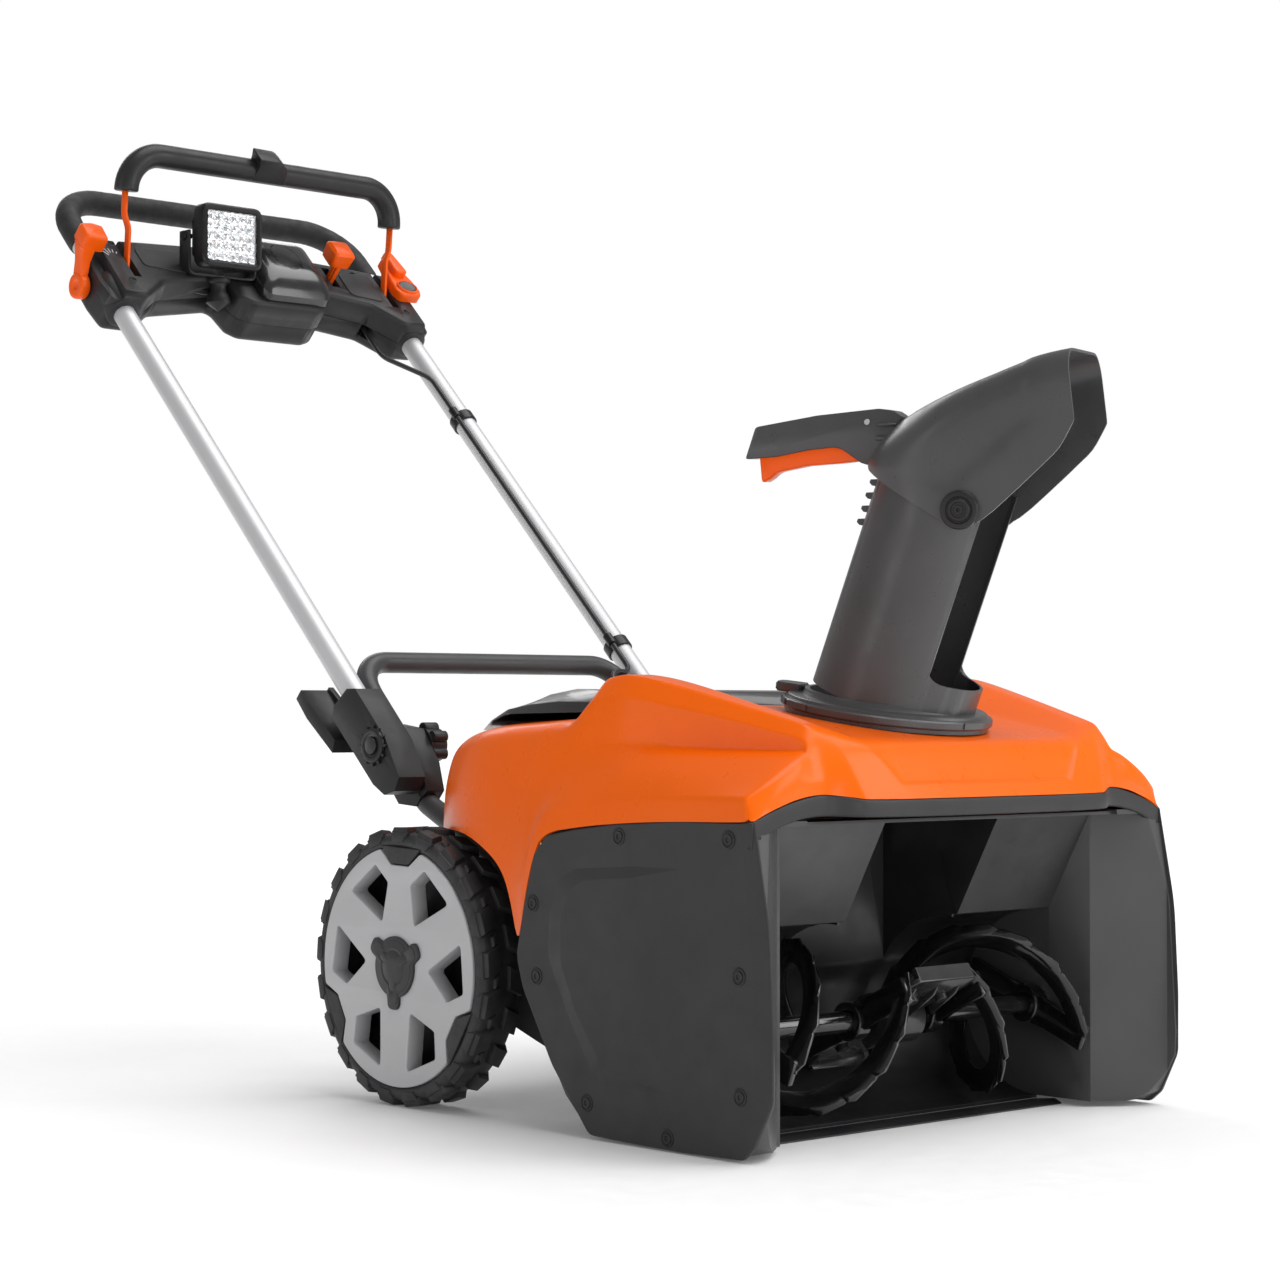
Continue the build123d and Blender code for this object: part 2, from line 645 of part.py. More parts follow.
def deflector():
    shell = deflector_block(0) - deflector_block(2.6)
    rim = chute_side([(118, 331), (146, 339), (161, 276), (149, 248), (88, 178), (80, 184),
                      (138, 252), (148, 276), (134, 326), (118, 322)], -82, 82)
    inside = chute_side([(100, 150), (190, 250), (190, 300), (139, 329), (60, 292), (60, 160)], -76.9, 76.9)
    rim = rim - inside
    body = shell + rim
    handle = handle_shell()
    body = keep_largest(body) - rod_s(PIVOT_U, PIVOT_H, 4.0, -90, 90)
    return body - handle


HANDLE_OUTLINE = [
    (-153, 237), (-158, 208), (-130, 213), (-100, 222), (-71, 228), (-48, 217),
    (-36, 223), (-11, 262.5), (-22, 266), (-37, 266), (-95, 253),
]


def handle_shell():
    block = chute_side(HANDLE_OUTLINE, -14, 14)
    cavity = [(-150, 234), (-154, 200), (-39, 200), (-41, 240), (-38, 262), (-95, 249)]
    return block - chute_side(cavity, -11, 11)


def chute_handle():
    body = handle_shell()
    return body - rod_s(-46.5, 254, 2.05, -20, 20)


def chute_trigger():
    blade = chute_side([(-140, 187), (-146, 210), (-140, 216), (-60, 238), (-54, 257), (-43, 257),
                        (-45, 236), (-50, 219), (-66, 214), (-100, 208), (-130, 199)], -9.5, 9.5)
    return blade - rod_s(-46.5, 254, 2.06, -20, 20)


def trigger_pin():
    return rod_s(-46.5, 254, 2.0, -13.8, 13.8)


def deflector_knob(sign):
    head = rod_s(PIVOT_U, PIVOT_H, 17, sign * 82.3, sign * 90)
    dish = rod_s(PIVOT_U, PIVOT_H, 9, sign * 87, sign * 91)
    shank = rod_s(PIVOT_U, PIVOT_H, 3.9, sign * 57, sign * 83)
    nut = rod_s(PIVOT_U, PIVOT_H, 6.5, sign * 57, sign * 63)
    return (head - dish) + shank + nut


def ring_seat():
    ring = Pos(0, 0, -15.3) * (Cylinder(RING_R - 3, 3.8) - Cylinder(80.2, 6))
    return ring


# ---------------------------------------------------------------- fold joint

SLOPE = Plane(origin=(0, FOLD_Y, FOLD_Y + HANDLE_RISE), x_dir=(1, 0, 0), z_dir=(0, 1, 1))


def fold_bracket(side):
    """Fixed clamp round the lower frame leg with the cradle behind it."""
    cheek = plate_yz([(62, 300), (76, 284), (104, 286), (132, 318), (140, 352), (126, 366),
                      (96, 362), (70, 328)], 167, 192.2)
    rest = plate_yz([(132, 318), (176, 340), (214, 372), (232, 392), (222, 404), (196, 384),
                     (160, 356), (134, 350)], 186, 192.2)
    seat = plate_yz([(170, 337), (214, 372), (232, 392), (224, 401), (208, 386), (166, 350)],
                    192.2, 226)
    body = cheek + rest + seat
    sign = SIDES[side]
    body = on_side(body, side)
    body = body - swept(leg_points(sign), LEG_R + 0.05, 38)
    tube = Pos(sign * HANDLE_X, 0, 0) * (SLOPE * Cylinder(HANDLE_R + 4, 900))
    body = body - tube
    return keep_largest(body) - rod_x(FOLD_Y, FOLD_Z, 4.1, sign * 150, sign * 230)


def fold_socket(side):
    """Moulded clamp that carries the end of the handle tube."""
    outline = [(60, 314), (68, 300), (84, 296), (102, 306), (170, 372), (168, 384), (146, 402),
               (132, 402), (82, 352)]
    block = plate_yz(outline, 192.8, 226)
    block = on_side(block, side)
    sign = SIDES[side]
    bore = Pos(sign * HANDLE_X, 0, 0) * (SLOPE * (Pos(0, 0, 200) * Cylinder(HANDLE_R + 0.02, 400)))
    return block - bore - rod_x(FOLD_Y, FOLD_Z, 4.05, sign * 150, sign * 230)


def fold_bolt(side):
    sign = SIDES[side]
    shank = rod_x(FOLD_Y, FOLD_Z, 4.0, sign * 158, sign * 231)
    head = rod_x(FOLD_Y, FOLD_Z, 8.5, sign * 226.3, sign * 232)
    return shank + head


def fold_knob(side):
    sign = SIDES[side]
    core = rod_x(FOLD_Y, FOLD_Z, 17, sign * 146, sign * 166)
    lobes = [
        Pos(0, FOLD_Y, FOLD_Z) * Rot(i * 60, 0, 0) * rod_x(0, 17, 6, sign * 148, sign * 165)
        for i in range(6)
    ]
    bore = rod_x(FOLD_Y, FOLD_Z, 4.02, sign * 152, sign * 170)
    return fused([core] + lobes) - bore


# ---------------------------------------------------------------- handle and console

def slope_point(x, v, w):
    """Point from the handle plane: v up along the tubes, w above the tube axis."""
    root = math.sqrt(0.5)
    return x, root * (v - w) - HANDLE_RISE / 2, root * (v + w) + HANDLE_RISE / 2


def slope_plane(w):
    return Plane(origin=slope_point(0, 0, w), x_dir=(1, 0, 0), z_dir=(0, -1, 1))


def slope_prism(points, w0, w1):
    """Prism standing on the handle plane drawn by its (x, v) outline."""
    face = make_face(Polyline(*[(x, v, 0) for x, v in points], close=True))
    return extrude(slope_plane(w0) * face, amount=w1 - w0)


def slope_box(x0, x1, v0, v1, w0, w1):
    return slope_prism([(x0, v0), (x1, v0), (x1, v1), (x0, v1)], w0, w1)


def slope_rod(x0, x1, v, w, radius):
    _, y, z = slope_point(0, v, w)
    return rod_x(y, z, radius, x0, x1)


TUBE_LOW_V = 336.0
TUBE_TOP_V = 1219.0


def handle_path():
    low = TUBE_LOW_V
    top = TUBE_TOP_V
    corners = [(-HANDLE_X, low), (-HANDLE_X, top), (HANDLE_X, top), (HANDLE_X, low)]
    return [slope_point(x, v, 0) for x, v in corners]


def handle_tube():
    return swept(handle_path(), HANDLE_R, 58) - swept(handle_path(), HANDLE_R - 1.8, 58)


def grip_sleeve():
    corners = [(-HANDLE_X, 1128), (-HANDLE_X, TUBE_TOP_V), (HANDLE_X, TUBE_TOP_V), (HANDLE_X, 1128)]
    path = [slope_point(x, v, 0) for x, v in corners]
    return swept(path, HANDLE_R + 2.2, 58) - swept(path, HANDLE_R + 0.02, 58)


CONSOLE_OUTLINE = [
    (-226, 1008), (-230, 1040), (-229, 1075), (-218, 1104), (-150, 1110), (-50, 1117), (70, 1117),
    (150, 1110), (218, 1104), (229, 1075), (230, 1040), (226, 1008), (184, 1004), (150, 1036),
    (78, 1052), (74, 1018), (60, 1012), (-34, 1012), (-50, 1022), (-56, 1060), (-150, 1036),
    (-184, 1004),
]
LOW_W = -29.0
HIGH_W = 30.0


def tube_cuts(gap):
    length = 400
    centre = 1060
    cuts = []
    for sign in (-1, 1):
        x, y, z = slope_point(sign * HANDLE_X, centre, 0)
        cuts.append(Plane(origin=(x, y, z), z_dir=(0, 1, 1)) * Cylinder(HANDLE_R + gap, length))
    return cuts


def console_half(w0, w1, floor_low):
    """Moulded half shell with a 3 mm wall."""
    outer = slope_prism(CONSOLE_OUTLINE, w0, w1)
    core = inset(CONSOLE_OUTLINE, 3)
    hollow = slope_prism(core, w0 + 3, w1 + 1) if floor_low else slope_prism(core, w0 - 1, w1 - 3)
    shell = outer - hollow
    blocks = [slope_box(s * HANDLE_X - 17, s * HANDLE_X + 17, 1010, 1098, w0 + 1, w1 - 1) for s in (-1, 1)]
    body = shell + fused([b & outer for b in blocks])
    for cut in tube_cuts(0.02):
        body = body - cut
    return body - slope_rod(-240, -223, LEVER_V, LEVER_W, 5.1)


def arm_space(sign):
    return slope_box(sign * 180.5, sign * 189.2, 1038, 1130, -0.1, 31)


def console_lower():
    body = console_half(LOW_W, -0.05, True)
    cable = slope_box(150, 162, 1000, 1050, -16, 2)
    for sign in (-1, 1):
        body = body - slope_box(sign * 178, sign * 191, 1040, 1068, -6, 2)
    return body - cable


def console_upper():
    body = console_half(0.05, HIGH_W, False)
    for sign in (-1, 1):
        body = body - arm_space(sign)
        trim = slope_box(sign * 214, sign * 240, 1000, 1120, 17, 40)
        body = body - trim
    body = body - slope_rod(-193, 193, BAIL_V, BAIL_W, 4.06)
    slot = slope_box(105, 115, 1066, 1102, 20, 40)
    lugs = [slope_box(110 + s * 10 - 2.5, 110 + s * 10 + 2.5, 1076, 1092, 2, 28) for s in (-1, 1)]
    body = (body - slot) + fused(lugs) - slope_rod(98, 122, 1084, 10, 3.05)
    for sign in (-1, 1):
        hanger = slope_box(sign * 172, sign * 178, 1046, 1062, 2, 28)
        body = body + (hanger - slope_rod(-193, 193, BAIL_V, BAIL_W, 4.06))
    return body


def dash_cover():
    low = slope_prism([(-20, 1024), (72, 1024), (72, 1112), (-20, 1112)], 30.1, 44)
    top = slope_prism([(-14, 1032), (66, 1032), (64, 1106), (-12, 1106)], 44, 57)
    return low + top - slope_box(-14, 66, 1030, 1106, 29, 41)


def control_board():
    board = slope_box(-40, 60, 1034, 1100, 20, 22)
    standoffs = [slope_box(x, x + 5, 1060, 1066, 21.9, 26.9) for x in (-30, 48)]
    return fused([board] + standoffs)


def bail_bar():
    corners = [(-189, 1123, 86.6), (-189, 1142, 108), (-158, 1149.4, 123.7), (158, 1149.4, 123.7),
               (189, 1142, 108), (189, 1123, 86.6)]
    path = [slope_point(*c) for c in corners]
    bar = swept(path, BAIL_R, 14)
    tab = slope_prism([(-22, 1150), (22, 1150), (19, 1176), (-19, 1176)], 118, 136)
    tip = slope_prism([(-22, 1150), (22, 1150), (19, 1170), (-19, 1170)], 124, 146)
    return bar + tab + (tip & slope_prism([(-30, 1150), (30, 1150), (30, 1176), (-30, 1176)], 118, 146))


def bail_arms():
    """Two flat arms welded to one cross rod."""
    _, py, pz = slope_point(0, BAIL_V, BAIL_W)
    _, ey, ez = slope_point(0, 1119, 82)
    dy, dz = unit(ey - py, ez - pz)
    nx, ny = -dz * 4.5, dy * 4.5
    outline = [(py + nx, pz + ny), (ey + nx, ez + ny), (ey - nx, ez - ny), (py - nx, pz - ny)]
    arm = plate_yz(outline, 183, 187) + rod_x(py, pz, 8, 183, 187)
    return fused(both(arm)) + slope_rod(-188, 188, BAIL_V, BAIL_W, 4)


LEVER_V = 1058.5
LEVER_W = -7.4


def speed_lever():
    disc = slope_rod(-243, -231, LEVER_V, LEVER_W, 15)
    stub = slope_rod(-231.5, -223.5, LEVER_V, LEVER_W, 5)
    _, y, z = slope_point(0, LEVER_V, LEVER_W)
    _, ty, tz = slope_point(0, 1084, 32)
    dy, dz = unit(ty - y, tz - z)
    px, pz = -dz * 6, dy * 6
    arm = plate_yz([(y + px, z + pz), (ty + px, tz + pz), (ty - px, tz - pz), (y - px, z - pz)], -241, -233)
    head = slope_box(-246, -216, 1074, 1100, 32, 52)
    return disc + stub + arm + head


def mode_paddle():
    stem = slope_box(107, 113, 1078, 1090, 12, 54)
    hub = slope_rod(104, 116, 1084, 10, 6) + slope_rod(100, 120, 1084, 10, 3)
    head = slope_box(97, 124, 1080, 1106, 54, 68)
    return stem + hub + head


def start_base():
    plinth = slope_prism([(198, 1052), (224, 1052), (230, 1062), (228, 1080), (216, 1122), (202, 1122),
                          (194, 1080), (193, 1062)], 30.1, 41)
    neck = slope_prism([(203, 1080), (220, 1080), (214, 1126), (204, 1126)], 41, 49)
    body = plinth + neck
    return body - slope_oval(211, 1066, 12.6, 9.6, 35, 45)


def slope_oval(x, v, half_x, half_v, w0, w1):
    face = Pos(x, v, 0) * Ellipse(half_x, half_v)
    return extrude(slope_plane(w0) * face, amount=w1 - w0)


def start_button():
    return slope_oval(211, 1066, 12, 9, 37.5, 43.5)


LIGHT_X = -68.0
LIGHT_Y = 592.0
LIGHT_Z = 930.0


def light_bracket():
    sill = box(LIGHT_X - 46.5, LIGHT_X + 46.5, LIGHT_Y + 4, LIGHT_Y + 24, LIGHT_Z - 46, LIGHT_Z - 42)
    rise = [box(LIGHT_X + s * 45 - 1.5, LIGHT_X + s * 45 + 1.5, LIGHT_Y + 4, LIGHT_Y + 24,
                LIGHT_Z - 46, LIGHT_Z + 6) for s in (-1, 1)]
    post = Pos(LIGHT_X, LIGHT_Y + 14, LIGHT_Z - 64) * Cylinder(9, 40)
    body = fused([sill, post] + rise)
    body = body - slope_box(-200, 200, 900, 1200, -90, HIGH_W + 0.05)
    return body - rod_x(LIGHT_Y + 14, LIGHT_Z, 3.05, LIGHT_X - 60, LIGHT_X + 60)


def light_housing():
    case = box(LIGHT_X - 42, LIGHT_X + 42, LIGHT_Y - 16, LIGHT_Y + 8, LIGHT_Z - 37, LIGHT_Z + 37)
    case = fillet(case.edges().filter_by(Axis.Y), 9)
    fins = [box(x, x + 3, LIGHT_Y + 7, LIGHT_Y + 22, LIGHT_Z - 30, LIGHT_Z + 30)
            for x in range(-104, -32, 8)]
    fins.append(box(LIGHT_X - 40, LIGHT_X + 40, LIGHT_Y + 7, LIGHT_Y + 18, LIGHT_Z - 6, LIGHT_Z + 6))
    pocket = box(LIGHT_X - 34, LIGHT_X + 34, LIGHT_Y - 20, LIGHT_Y - 8, LIGHT_Z - 29, LIGHT_Z + 29)
    pins = [rod_x(LIGHT_Y + 14, LIGHT_Z, 3, LIGHT_X + s * 36, LIGHT_X + s * 47) for s in (-1, 1)]
    return fused([case] + fins + pins) - pocket


def light_lens():
    return box(LIGHT_X - 33.9, LIGHT_X + 33.9, LIGHT_Y - 14.6, LIGHT_Y - 11.6, LIGHT_Z - 28.9, LIGHT_Z + 28.9)


# ---------------------------------------------------------------- control cable

CABLE_R = 3.0
CABLE_DROP_X = 118.0
CLIP_V = (470.0, 860.0)


def cable_upper():
    """Run that stays with the handle, from the console to the lower clip."""
    corners = [(156, 1045, -8), (156, 985, -8), (186, 925, 12), (186, 455, 12)]
    return swept([slope_point(*c) for c in corners], CABLE_R, 40)


def cable_lower():
    """Run across the fold, from the lower clip into the back of the hood."""
    start = slope_point(186, 455, 12)
    second = slope_point(186, 415, 12)
    points = [start, second, (150, 165, 426), (CABLE_DROP_X, 95, 340), (CABLE_DROP_X, 42, 300),
              (CABLE_DROP_X, 16, 284)]
    path = FilletPolyline(*points, radius=[22, 30, 40, 40])
    section = Plane(origin=path @ 0, z_dir=path % 0) * Circle(CABLE_R)
    return sweep(section, path=path)


def cable_clip(v):
    along = Plane(origin=slope_point(HANDLE_X, v, 0), z_dir=(0, 1, 1))
    inner = Plane(origin=slope_point(186, v, 12), z_dir=(0, 1, 1))
    bridge = Plane(origin=slope_point(194.5, v, 7), z_dir=(0, 1, 1), x_dir=(1, 0, 0)) * Box(8, 9, 14)
    body = along * Cylinder(HANDLE_R + 2.5, 14) + inner * Cylinder(CABLE_R + 2.2, 14) + bridge
    return body - along * Cylinder(HANDLE_R + 0.02, 20) - inner * Cylinder(CABLE_R + 0.02, 20)


# ---------------------------------------------------------------- export

def pieces():
    frame = chute_frame()
    nodes = {
        "rear_axle": rear_axle(),
        "chassis": chassis(),
        "lower_frame": lower_frame(),
        "front_band": front_band(),
        "auger_housing": auger_housing(),
        "scraper_bar": scraper_bar(),
        "auger_shaft": auger_shaft(),
        "auger_flights": auger_flights(),
        "auger_paddles": auger_paddles(),
        "paddle_bolts": paddle_bolts(),
        "auger_pulley": auger_pulley(),
        "motor_pulley": motor_pulley(),
        "drive_belt": drive_belt(),
        "motor": motor(),
        "electronics_box": electronics_box(),
        "hood": hood(),
        "battery_lid": battery_lid(),
        "battery_tray": battery_tray(),
        "chute_tube": frame * chute_tube(),
        "ring_seat": frame * ring_seat(),
        "deflector": frame * deflector(),
        "chute_handle": frame * chute_handle(),
        "chute_trigger": frame * chute_trigger(),
        "trigger_pin": frame * trigger_pin(),
        "deflector_knobs": Compound(children=[frame * deflector_knob(s) for s in (-1, 1)]),
        "handle_tube": handle_tube(),
        "grip_sleeve": grip_sleeve(),
        "console_lower": console_lower(),
        "console_upper": console_upper(),
        "dash_cover": dash_cover(),
        "control_board": control_board(),
        "bail_arms": bail_arms(),
        "bail_bar": bail_bar(),
        "speed_lever": speed_lever(),
        "mode_paddle": mode_paddle(),
        "start_base": start_base(),
        "start_button": start_button(),
        "light_bracket": light_bracket(),
        "light_housing": light_housing(),
        "light_lens": light_lens(),
        "cable_upper": cable_upper(),
        "cable_lower": cable_lower(),
        "cable_clips": Compound(children=[cable_clip(v) for v in CLIP_V]),
    }
    single = {
        "tyre": tyre, "rim": rim, "wheel_cap": wheel_cap, "side_plate": side_plate,
        "fold_knob": fold_knob,
    }
    for side in SIDES:
        for name, maker in single.items():
            nodes[side + "_" + name] = maker(side)
    pairs = {
        "axle_hardware": axle_hardware, "plate_screws": plate_screws, "batteries": battery,
        "auger_bearings": auger_bearing, "fold_brackets": fold_bracket,
        "fold_sockets": fold_socket, "fold_bolts": fold_bolt,
    }
    for name, maker in pairs.items():
        nodes[name] = Compound(children=[s for side in SIDES for s in maker(side).solids()])
    return nodes


def main():
    os.makedirs("parts", exist_ok=True)
    for name, shape in pieces().items():
        shape.label = name
        export_step(Pos(0, AXLE_Y, 0) * shape, "parts/" + name + ".step")


main()
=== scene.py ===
import json
import math
import random

import bmesh
import bpy
from mathutils import Matrix, Vector
from mathutils.geometry import delaunay_2d_cdt


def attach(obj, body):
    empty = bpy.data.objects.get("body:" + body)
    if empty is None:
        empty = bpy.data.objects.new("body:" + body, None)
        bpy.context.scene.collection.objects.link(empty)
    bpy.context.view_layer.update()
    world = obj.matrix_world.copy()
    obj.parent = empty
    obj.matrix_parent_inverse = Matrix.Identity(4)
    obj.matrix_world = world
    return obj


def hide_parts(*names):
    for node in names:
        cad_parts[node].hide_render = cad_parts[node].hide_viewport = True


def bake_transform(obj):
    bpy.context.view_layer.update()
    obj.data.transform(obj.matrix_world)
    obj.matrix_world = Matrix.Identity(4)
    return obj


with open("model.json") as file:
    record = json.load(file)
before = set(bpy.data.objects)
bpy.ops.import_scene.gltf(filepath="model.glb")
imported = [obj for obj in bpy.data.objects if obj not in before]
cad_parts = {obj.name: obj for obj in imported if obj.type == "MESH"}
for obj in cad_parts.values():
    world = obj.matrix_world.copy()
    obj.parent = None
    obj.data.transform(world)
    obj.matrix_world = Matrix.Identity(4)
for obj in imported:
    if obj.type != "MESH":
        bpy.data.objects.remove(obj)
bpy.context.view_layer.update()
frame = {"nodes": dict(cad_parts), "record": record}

random.seed(7)
scene = bpy.context.scene
NODES = frame["nodes"]

# Sizes below are millimetres measured from the wheel axle (y = 0) and the ground (z = 0).
AXLE_SHIFT = -75.66
MM = 0.001
WHEEL_R, WHEEL_IN, WHEEL_OUT = 134.0, 226.0, 275.0
PLATE_IN, PLATE_OUT = 276.0, 280.0
AUGER_Y, AUGER_Z, AUGER_R = -385.0, 96.0, 84.0
CHUTE_ORIGIN = Vector((0.0, -385.0, 389.0))
CHUTE_TILT, CHUTE_REST = math.radians(9), math.radians(28)
TUBE_R, TUBE_LEAN = 76.0, math.radians(11.7)
PIVOT_U, PIVOT_H = 65.5, 186.0
HANDLE_X, HANDLE_R, HANDLE_RISE = 206.0, 12.5, 237.5
FOLD_Y, FOLD_Z = 100.0, 345.0
LEVER_V, LEVER_W = 1058.5, -7.4
BAIL_V, BAIL_W = 1053.6, 8.8
LIGHT_AT = (-68.0, 592.0, 930.0)


def at(x, y, z):
    """Machine millimetres to the row frame in metres."""
    return Vector((x, y + AXLE_SHIFT, z)) * MM


def slope(x, v, w):
    """A point on the handle: v up along the 45 degree tubes, w above their centre line."""
    r = math.sqrt(0.5)
    return Vector((x, r * (v - w) - HANDLE_RISE / 2, r * (v + w) + HANDLE_RISE / 2))


CHUTE_A = Vector((0, -math.sin(CHUTE_TILT), math.cos(CHUTE_TILT)))
_level = Vector((math.sin(CHUTE_REST), -math.cos(CHUTE_REST), 0))
CHUTE_G = Vector((_level.x, _level.y * math.cos(CHUTE_TILT), _level.y * math.sin(CHUTE_TILT)))
CHUTE_S = CHUTE_A.cross(CHUTE_G)


def chute(u, s, h):
    """A point in the chute's frame: u forward along the throw, s across, h up its axis."""
    return CHUTE_ORIGIN + CHUTE_G * u + CHUTE_S * s + CHUTE_A * h


def metres(p):
    return at(p[0], p[1], p[2])


# ---------------------------------------------------------------- materials

def node_tree(name):
    mat = bpy.data.materials.new(name)
    mat.use_nodes = True
    tree = mat.node_tree
    return mat, tree, tree.nodes["Principled BSDF"]


def noise(tree, vector, scale, detail=4.0, rough=0.55):
    n = tree.nodes.new("ShaderNodeTexNoise")
    n.inputs["Scale"].default_value = scale
    n.inputs["Detail"].default_value = detail
    n.inputs["Roughness"].default_value = rough
    tree.links.new(vector, n.inputs["Vector"])
    return n.outputs["Fac"]


def remap(tree, value, low, high, from_low=0.3, from_high=0.7):
    n = tree.nodes.new("ShaderNodeMapRange")
    n.inputs["From Min"].default_value = from_low
    n.inputs["From Max"].default_value = from_high
    n.inputs["To Min"].default_value = low
    n.inputs["To Max"].default_value = high
    tree.links.new(value, n.inputs["Value"])
    return n.outputs["Result"]


def mix_colour(tree, fac, a, b):
    n = tree.nodes.new("ShaderNodeMix")
    n.data_type = "RGBA"
    n.inputs["A"].default_value = (*a, 1)
    n.inputs["B"].default_value = (*b, 1)
    tree.links.new(fac, n.inputs["Factor"])
    return n.outputs["Result"]


def coords(tree, stretch=None, turn=None):
    c = tree.nodes.new("ShaderNodeTexCoord").outputs["Object"]
    if stretch is None:
        return c
    m = tree.nodes.new("ShaderNodeMapping")
    m.inputs["Scale"].default_value = stretch
    if turn:
        m.inputs["Rotation"].default_value = turn
    tree.links.new(c, m.inputs["Vector"])
    return m.outputs["Vector"]


def bump(tree, shader, heights):
    """heights: (height output, strength, distance) from the widest detail to the finest."""
    normal = None
    for height, strength, distance in heights:
        n = tree.nodes.new("ShaderNodeBump")
        n.inputs["Strength"].default_value = strength
        n.inputs["Distance"].default_value = distance
        tree.links.new(height, n.inputs["Height"])
        if normal is not None:
            tree.links.new(normal, n.inputs["Normal"])
        normal = n.outputs["Normal"]
    tree.links.new(normal, shader.inputs["Normal"])


def moulded(name, colour, rough, grain=900.0, grain_bump=0.12, vary=0.10, coat=0.0, coat_rough=0.08,
            wave=0.0, dust=0.0, rough_span=0.08, specular=0.5):
    """Moulded plastic or rubber: fine grain, slight flow marks in colour, gloss and height."""
    mat, tree, bsdf = node_tree(name)
    where = coords(tree)
    flow = remap(tree, noise(tree, where, 9.0, 3.0), 0.0, 1.0)
    low = tuple(c * (1 - vary) for c in colour)
    high = tuple(min(1.0, c * (1 + vary) + dust) for c in colour)
    tree.links.new(mix_colour(tree, flow, low, high), bsdf.inputs["Base Color"])
    patch = noise(tree, where, 42.0, 5.0)
    tree.links.new(remap(tree, patch, rough - rough_span, rough + rough_span), bsdf.inputs["Roughness"])
    heights = []
    if wave:
        heights.append((noise(tree, where, 14.0, 1.0), wave, 0.002))
    heights.append((noise(tree, where, grain, 2.0, 0.6), grain_bump, 0.0004))
    bump(tree, bsdf, heights)
    bsdf.inputs["Specular IOR Level"].default_value = specular
    if coat:
        bsdf.inputs["Coat Weight"].default_value = coat
        bsdf.inputs["Coat Roughness"].default_value = coat_rough
    return mat


def brushed(name, colour, rough, stretch, turn=None, metallic=1.0, lines=0.10, vary=0.06):
    """Metal with drawn lines: noise stretched along the tube or round the part."""
    mat, tree, bsdf = node_tree(name)
    fine = noise(tree, coords(tree, stretch, turn), 60.0, 6.0, 0.7)
    wide = noise(tree, coords(tree), 11.0, 3.0)
    low = tuple(c * (1 - vary) for c in colour)
    tree.links.new(mix_colour(tree, remap(tree, wide, 0, 1), low, colour), bsdf.inputs["Base Color"])
    tree.links.new(remap(tree, fine, rough - 0.07, rough + 0.09), bsdf.inputs["Roughness"])
    bsdf.inputs["Metallic"].default_value = metallic
    bump(tree, bsdf, [(fine, lines, 0.0002)])
    return mat


def foam_material(name, colour):
    mat, tree, bsdf = node_tree(name)
    where = coords(tree)
    cells = tree.nodes.new("ShaderNodeTexVoronoi")
    cells.inputs["Scale"].default_value = 620.0
    tree.links.new(where, cells.inputs["Vector"])
    tint = remap(tree, noise(tree, where, 60.0, 4.0), 0, 1)
    high = tuple(c * 1.7 + 0.004 for c in colour)
    tree.links.new(mix_colour(tree, tint, colour, high), bsdf.inputs["Base Color"])
    tree.links.new(remap(tree, noise(tree, where, 90.0), 0.55, 0.75), bsdf.inputs["Roughness"])
    bump(tree, bsdf, [(noise(tree, where, 120.0, 3.0), 0.25, 0.0008), (cells.outputs["Distance"], 0.35, 0.0006)])
    return mat


def worn_rubber(name, colour, rough):
    """Tyre rubber: dusty grey scuffs over black, coarser grain."""
    mat, tree, bsdf = node_tree(name)
    where = coords(tree)
    scuff = remap(tree, noise(tree, where, 26.0, 8.0, 0.65), 0, 1, 0.45, 0.75)
    dusty = tuple(c + 0.022 for c in colour)
    tree.links.new(mix_colour(tree, scuff, colour, dusty), bsdf.inputs["Base Color"])
    tree.links.new(remap(tree, noise(tree, where, 33.0, 5.0), rough - 0.08, rough + 0.12), bsdf.inputs["Roughness"])
    bump(tree, bsdf, [(noise(tree, where, 160.0, 4.0), 0.22, 0.0006), (noise(tree, where, 900.0, 2.0), 0.12, 0.0003)])
    return mat


def lens_material(name):
    mat, tree, bsdf = node_tree(name)
    where = coords(tree)
    streak = remap(tree, noise(tree, where, 300.0, 3.0), 0.02, 0.10)
    tree.links.new(streak, bsdf.inputs["Roughness"])
    tint = remap(tree, noise(tree, where, 90.0, 2.0), 0, 1)
    tree.links.new(mix_colour(tree, tint, (0.93, 0.95, 0.97), (1.0, 1.0, 1.0)), bsdf.inputs["Base Color"])
    bsdf.inputs["Transmission Weight"].default_value = 1.0
    bsdf.inputs["IOR"].default_value = 1.45
    bump(tree, bsdf, [(noise(tree, where, 500.0, 2.0), 0.1, 0.0003)])
    return mat


def mirror_material(name):
    mat, tree, bsdf = node_tree(name)
    where = coords(tree)
    haze = remap(tree, noise(tree, where, 120.0, 3.0), 0.05, 0.16)
    tree.links.new(haze, bsdf.inputs["Roughness"])
    tint = remap(tree, noise(tree, where, 70.0, 2.0), 0, 1)
    tree.links.new(mix_colour(tree, tint, (0.80, 0.81, 0.83), (0.95, 0.96, 0.97)), bsdf.inputs["Base Color"])
    bsdf.inputs["Metallic"].default_value = 1.0
    bump(tree, bsdf, [(noise(tree, where, 260.0, 2.0), 0.15, 0.0005)])
    return mat


